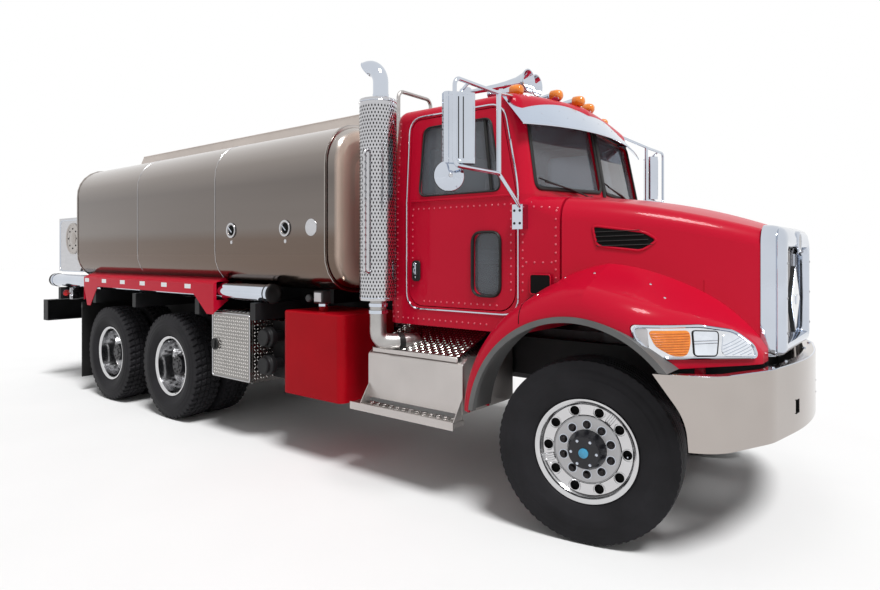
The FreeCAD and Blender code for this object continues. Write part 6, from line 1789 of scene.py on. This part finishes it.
# %% Rear cabinet
TAIL_RIM = ((-0.004, 0.0415), (0.006, 0.0410), (0.009, 0.0385), (0.006, 0.0355))
COVER_X, COVER_Z, COVER_R = -1.250, 1.845, 0.200
COVER = ((0.0, 1), (0.010, 1), (0.016, 0.97), (0.016, 0.90), (0.008, 0.86), (0.008, 0.42), (0.020, 0.36),
         (0.024, 0.20), (0.024, 0))  # along the axis, and the share of the cover's radius
cabinet_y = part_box("rear_cabinet")[1].y
for name, side in SIDES:
    frame_run = rounded(row(-1.28, side * cabinet_y, 1.755), AHEAD * 0.38, UP * 0.325, 0.08, 6)
    piece(f"cabinet_plate_edge_{name}", [tube(frame_run, 0.007, 8, closed=True)], "truck", "chrome")
    out, centre = outward(side), row(COVER_X, side * cabinet_y, COVER_Z)
    cover = lathe([(along, share * COVER_R) for along, share in COVER], centre, out, 56)
    piece(f"reel_cover_{name}", [cover], "truck", "polished_aluminium")
    cover_bolts = [bolt(place, out, 0.009, 0.006)
                   for place in circle(centre + out * 0.008, out, COVER_R * 0.62, 8)]
    piece(f"reel_cover_bolts_{name}", cover_bolts, "truck", nut_dark)
lamp_rims = [lathe(TAIL_RIM, place, BACK, 28) for place in lamp_places]
piece("tail_lamp_rims", lamp_rims, "truck", "chrome")
print("reel cover bolts", len(cover_bolts), "lamp rims", len(lamp_rims))

# %% [markdown]
# ## Hose tubes and meter
# The hose tubes end in dark rubber caps. On the red reservoir stands a small meter with a blank white face in
# a dark housing, beside a black valve knob, and a bright collar holds the riser. These close over the plain
# CAD blocks.

# %% Hose tubes and meter
TUBE_CAP = ((-0.060, 0.0805), (-0.058, 0.0835), (0.002, 0.0835), (0.0055, 0.079), (0.0055, 0.055),
            (0.0035, 0.052), (0.0035, 0))
KNOB = ((0, 0.010), (0.050, 0.010), (0.052, 0.030), (0.075, 0.032), (0.082, 0.026), (0.084, 0.012),
        (0.084, 0))
COLLAR = ((-0.022, 0.0395), (-0.020, 0.043), (0.0, 0.043), (0.002, 0.0395))
caps = [lathe(TUBE_CAP, row(x, side * 1.130, 1.312), way, 36)
        for _, side in SIDES for x, way in ((2.920, AHEAD), (-1.720, BACK))]
piece("hose_tube_caps", caps, "truck", "rubber")
housing = block(row(3.391, -1.0945, 1.254), row(3.501, -1.001, 1.354), 0.008)
valve = row(3.330, -1.020, 1.290)
valve_stem = tube([valve, valve + AHEAD * 0.070], 0.011, 10)
piece("meter_housing", [housing, lathe(KNOB, valve, OUT_RIGHT, 24), valve_stem], "truck", "dash_plastic")
face = block(row(3.405, -1.0975, 1.268), row(3.487, -1.0935, 1.340))
piece("meter_face", [face], "truck", white_enamel)
piece("riser_collar", [lathe(COLLAR, row(3.455, -1.040, 1.250), UP, 28)], "truck", "chrome")
print("caps", len(caps))

# %% [markdown]
# ## Seats
# The seats show through the glass, so they are made as upholstery: crowned cushions whose sides pull in, with
# a sewn channel across each. A coarse cage with a subdivision surface gives that softness; the CAD seats stay
# hidden behind as their stand-ins.

# %% Seats
CROWN = 0.25  # how far a cushion swells, as a share of half its height
CHANNEL = 0.22  # depth of the sewn channel, as the same share
BACK_TILT = math.radians(-83)


def cushion(low, high, cuts=6):
    """Closed pillow between two corners: crowned on top, pulled in at the sides, with one sewn channel."""
    work = bmesh.new()
    bmesh.ops.create_cube(work, size=2)
    bmesh.ops.subdivide_edges(work, edges=work.edges[:], cuts=cuts, use_grid_fill=True)
    middle, half = (Vector(low) + Vector(high)) / 2, (Vector(high) - Vector(low)) / 2
    for corner in work.verts:
        x, y, z = corner.co
        pull = 1 - 0.06 * z * z
        fat = (1 - x ** 4) * (1 - y ** 4)
        channel = -CHANNEL * math.exp(-((x - 0.1) / 0.10) ** 2) if z > 0.5 else 0
        swell = (CROWN * fat + channel * fat * 0.5) * (1 if z > 0 else 0.2)
        z_new = z * (0.72 + 0.28 * fat) + swell
        corner.co = middle + Vector((x * half.x * pull, y * half.y * pull, z_new * half.z))
    return taken_from(work)


for name, side in SIDES:
    y = side * 0.450
    base = cushion(row(4.43, y - 0.245, 1.575), row(4.955, y + 0.245, 1.680))
    middle, half = row(4.425, y, 2.01), Vector((0.34, 0.23, 0.055))
    flat_back, back_faces = cushion(middle - half, middle + half)
    lean = Matrix.Rotation(BACK_TILT, 3, "Y")
    back = [middle + lean @ (corner - middle) for corner in flat_back], back_faces
    chair = piece(f"seat_{name}", [base, back], "truck", "seat_fabric",
                  replaces=["cab_seats"] if side < 0 else ())
    soften = chair.modifiers.new("soft", "SUBSURF")
    soften.levels = 1
    soften.render_levels = 1
    stand = block(row(4.52, y - 0.14, 1.195), row(4.84, y + 0.14, 1.575), 0.02)
    piece(f"seat_stand_{name}", [stand], "truck", "dash_plastic")
print("cushion corners", len(flat_back))

# %% [markdown]
# ## Studio floor
# The truck stands on a pale plain floor. It is staged, not ridden, so that it stays out of the part.

# %% Studio floor
FLOOR_REACH = 60
mesh = bpy.data.meshes.new("floor")
mesh.from_pydata([(x * FLOOR_REACH, y * FLOOR_REACH, 0) for x, y in ((-1, -1), (1, -1), (1, 1), (-1, 1))], [],
                 [(0, 1, 2, 3)])
mesh.materials.append(finish("studio_floor", (0.86, 0.86, 0.86), rough=0.9, drift=0.01, drift_size=1.0,
                             grain=0.0, grain_size=10.0))
floor = bpy.data.objects.new("floor", mesh)
bpy.context.scene.collection.objects.link(floor)
print("floor", 2 * FLOOR_REACH, "m across")

# %% [markdown]
# ## Studio light
# An even white surround and one large soft key from above and behind the viewer show colours about as they
# were mixed and keep a soft shadow under the wheels. The surround is full white where it is seen, straight,
# in a reflection or through glass, and a third as strong where it only lights surfaces, or every shadow would
# be washed out.

# %% Studio light
SEEN_WHITE, LIT_WHITE = 1.0, 0.34
KEY_STRENGTH, KEY_SPREAD = 3.0, 0.3
KEY_FROM = Vector((0.45, -0.22, 0.87))
world = bpy.data.worlds.new("studio")
world.use_nodes = True
bpy.context.scene.world = world
tree = world.node_tree
around = tree.nodes["Background"]
around.inputs["Color"].default_value = (1, 1, 1, 1)
path = add(tree, "LightPath")
seen, seen_output = path, "Is Camera Ray"
for ray in ("Is Glossy Ray", "Is Transmission Ray"):
    either = add(tree, "Math")
    either.operation = "MAXIMUM"
    tree.links.new(seen.outputs[seen_output], either.inputs[0])
    tree.links.new(path.outputs[ray], either.inputs[1])
    seen, seen_output = either, "Value"
join(tree, carried(tree, seen, seen_output, (0, 1), (LIT_WHITE, SEEN_WHITE)), "Result", around, "Strength")
sun = bpy.data.lights.new("key", "SUN")
sun.energy = KEY_STRENGTH
sun.angle = KEY_SPREAD
key = bpy.data.objects.new("key", sun)
key.rotation_euler = KEY_FROM.to_track_quat("Z", "Y").to_euler()
bpy.context.scene.collection.objects.link(key)
bpy.context.scene.view_settings.view_transform = "Standard"
print("key from", [round(v, 2) for v in KEY_FROM])
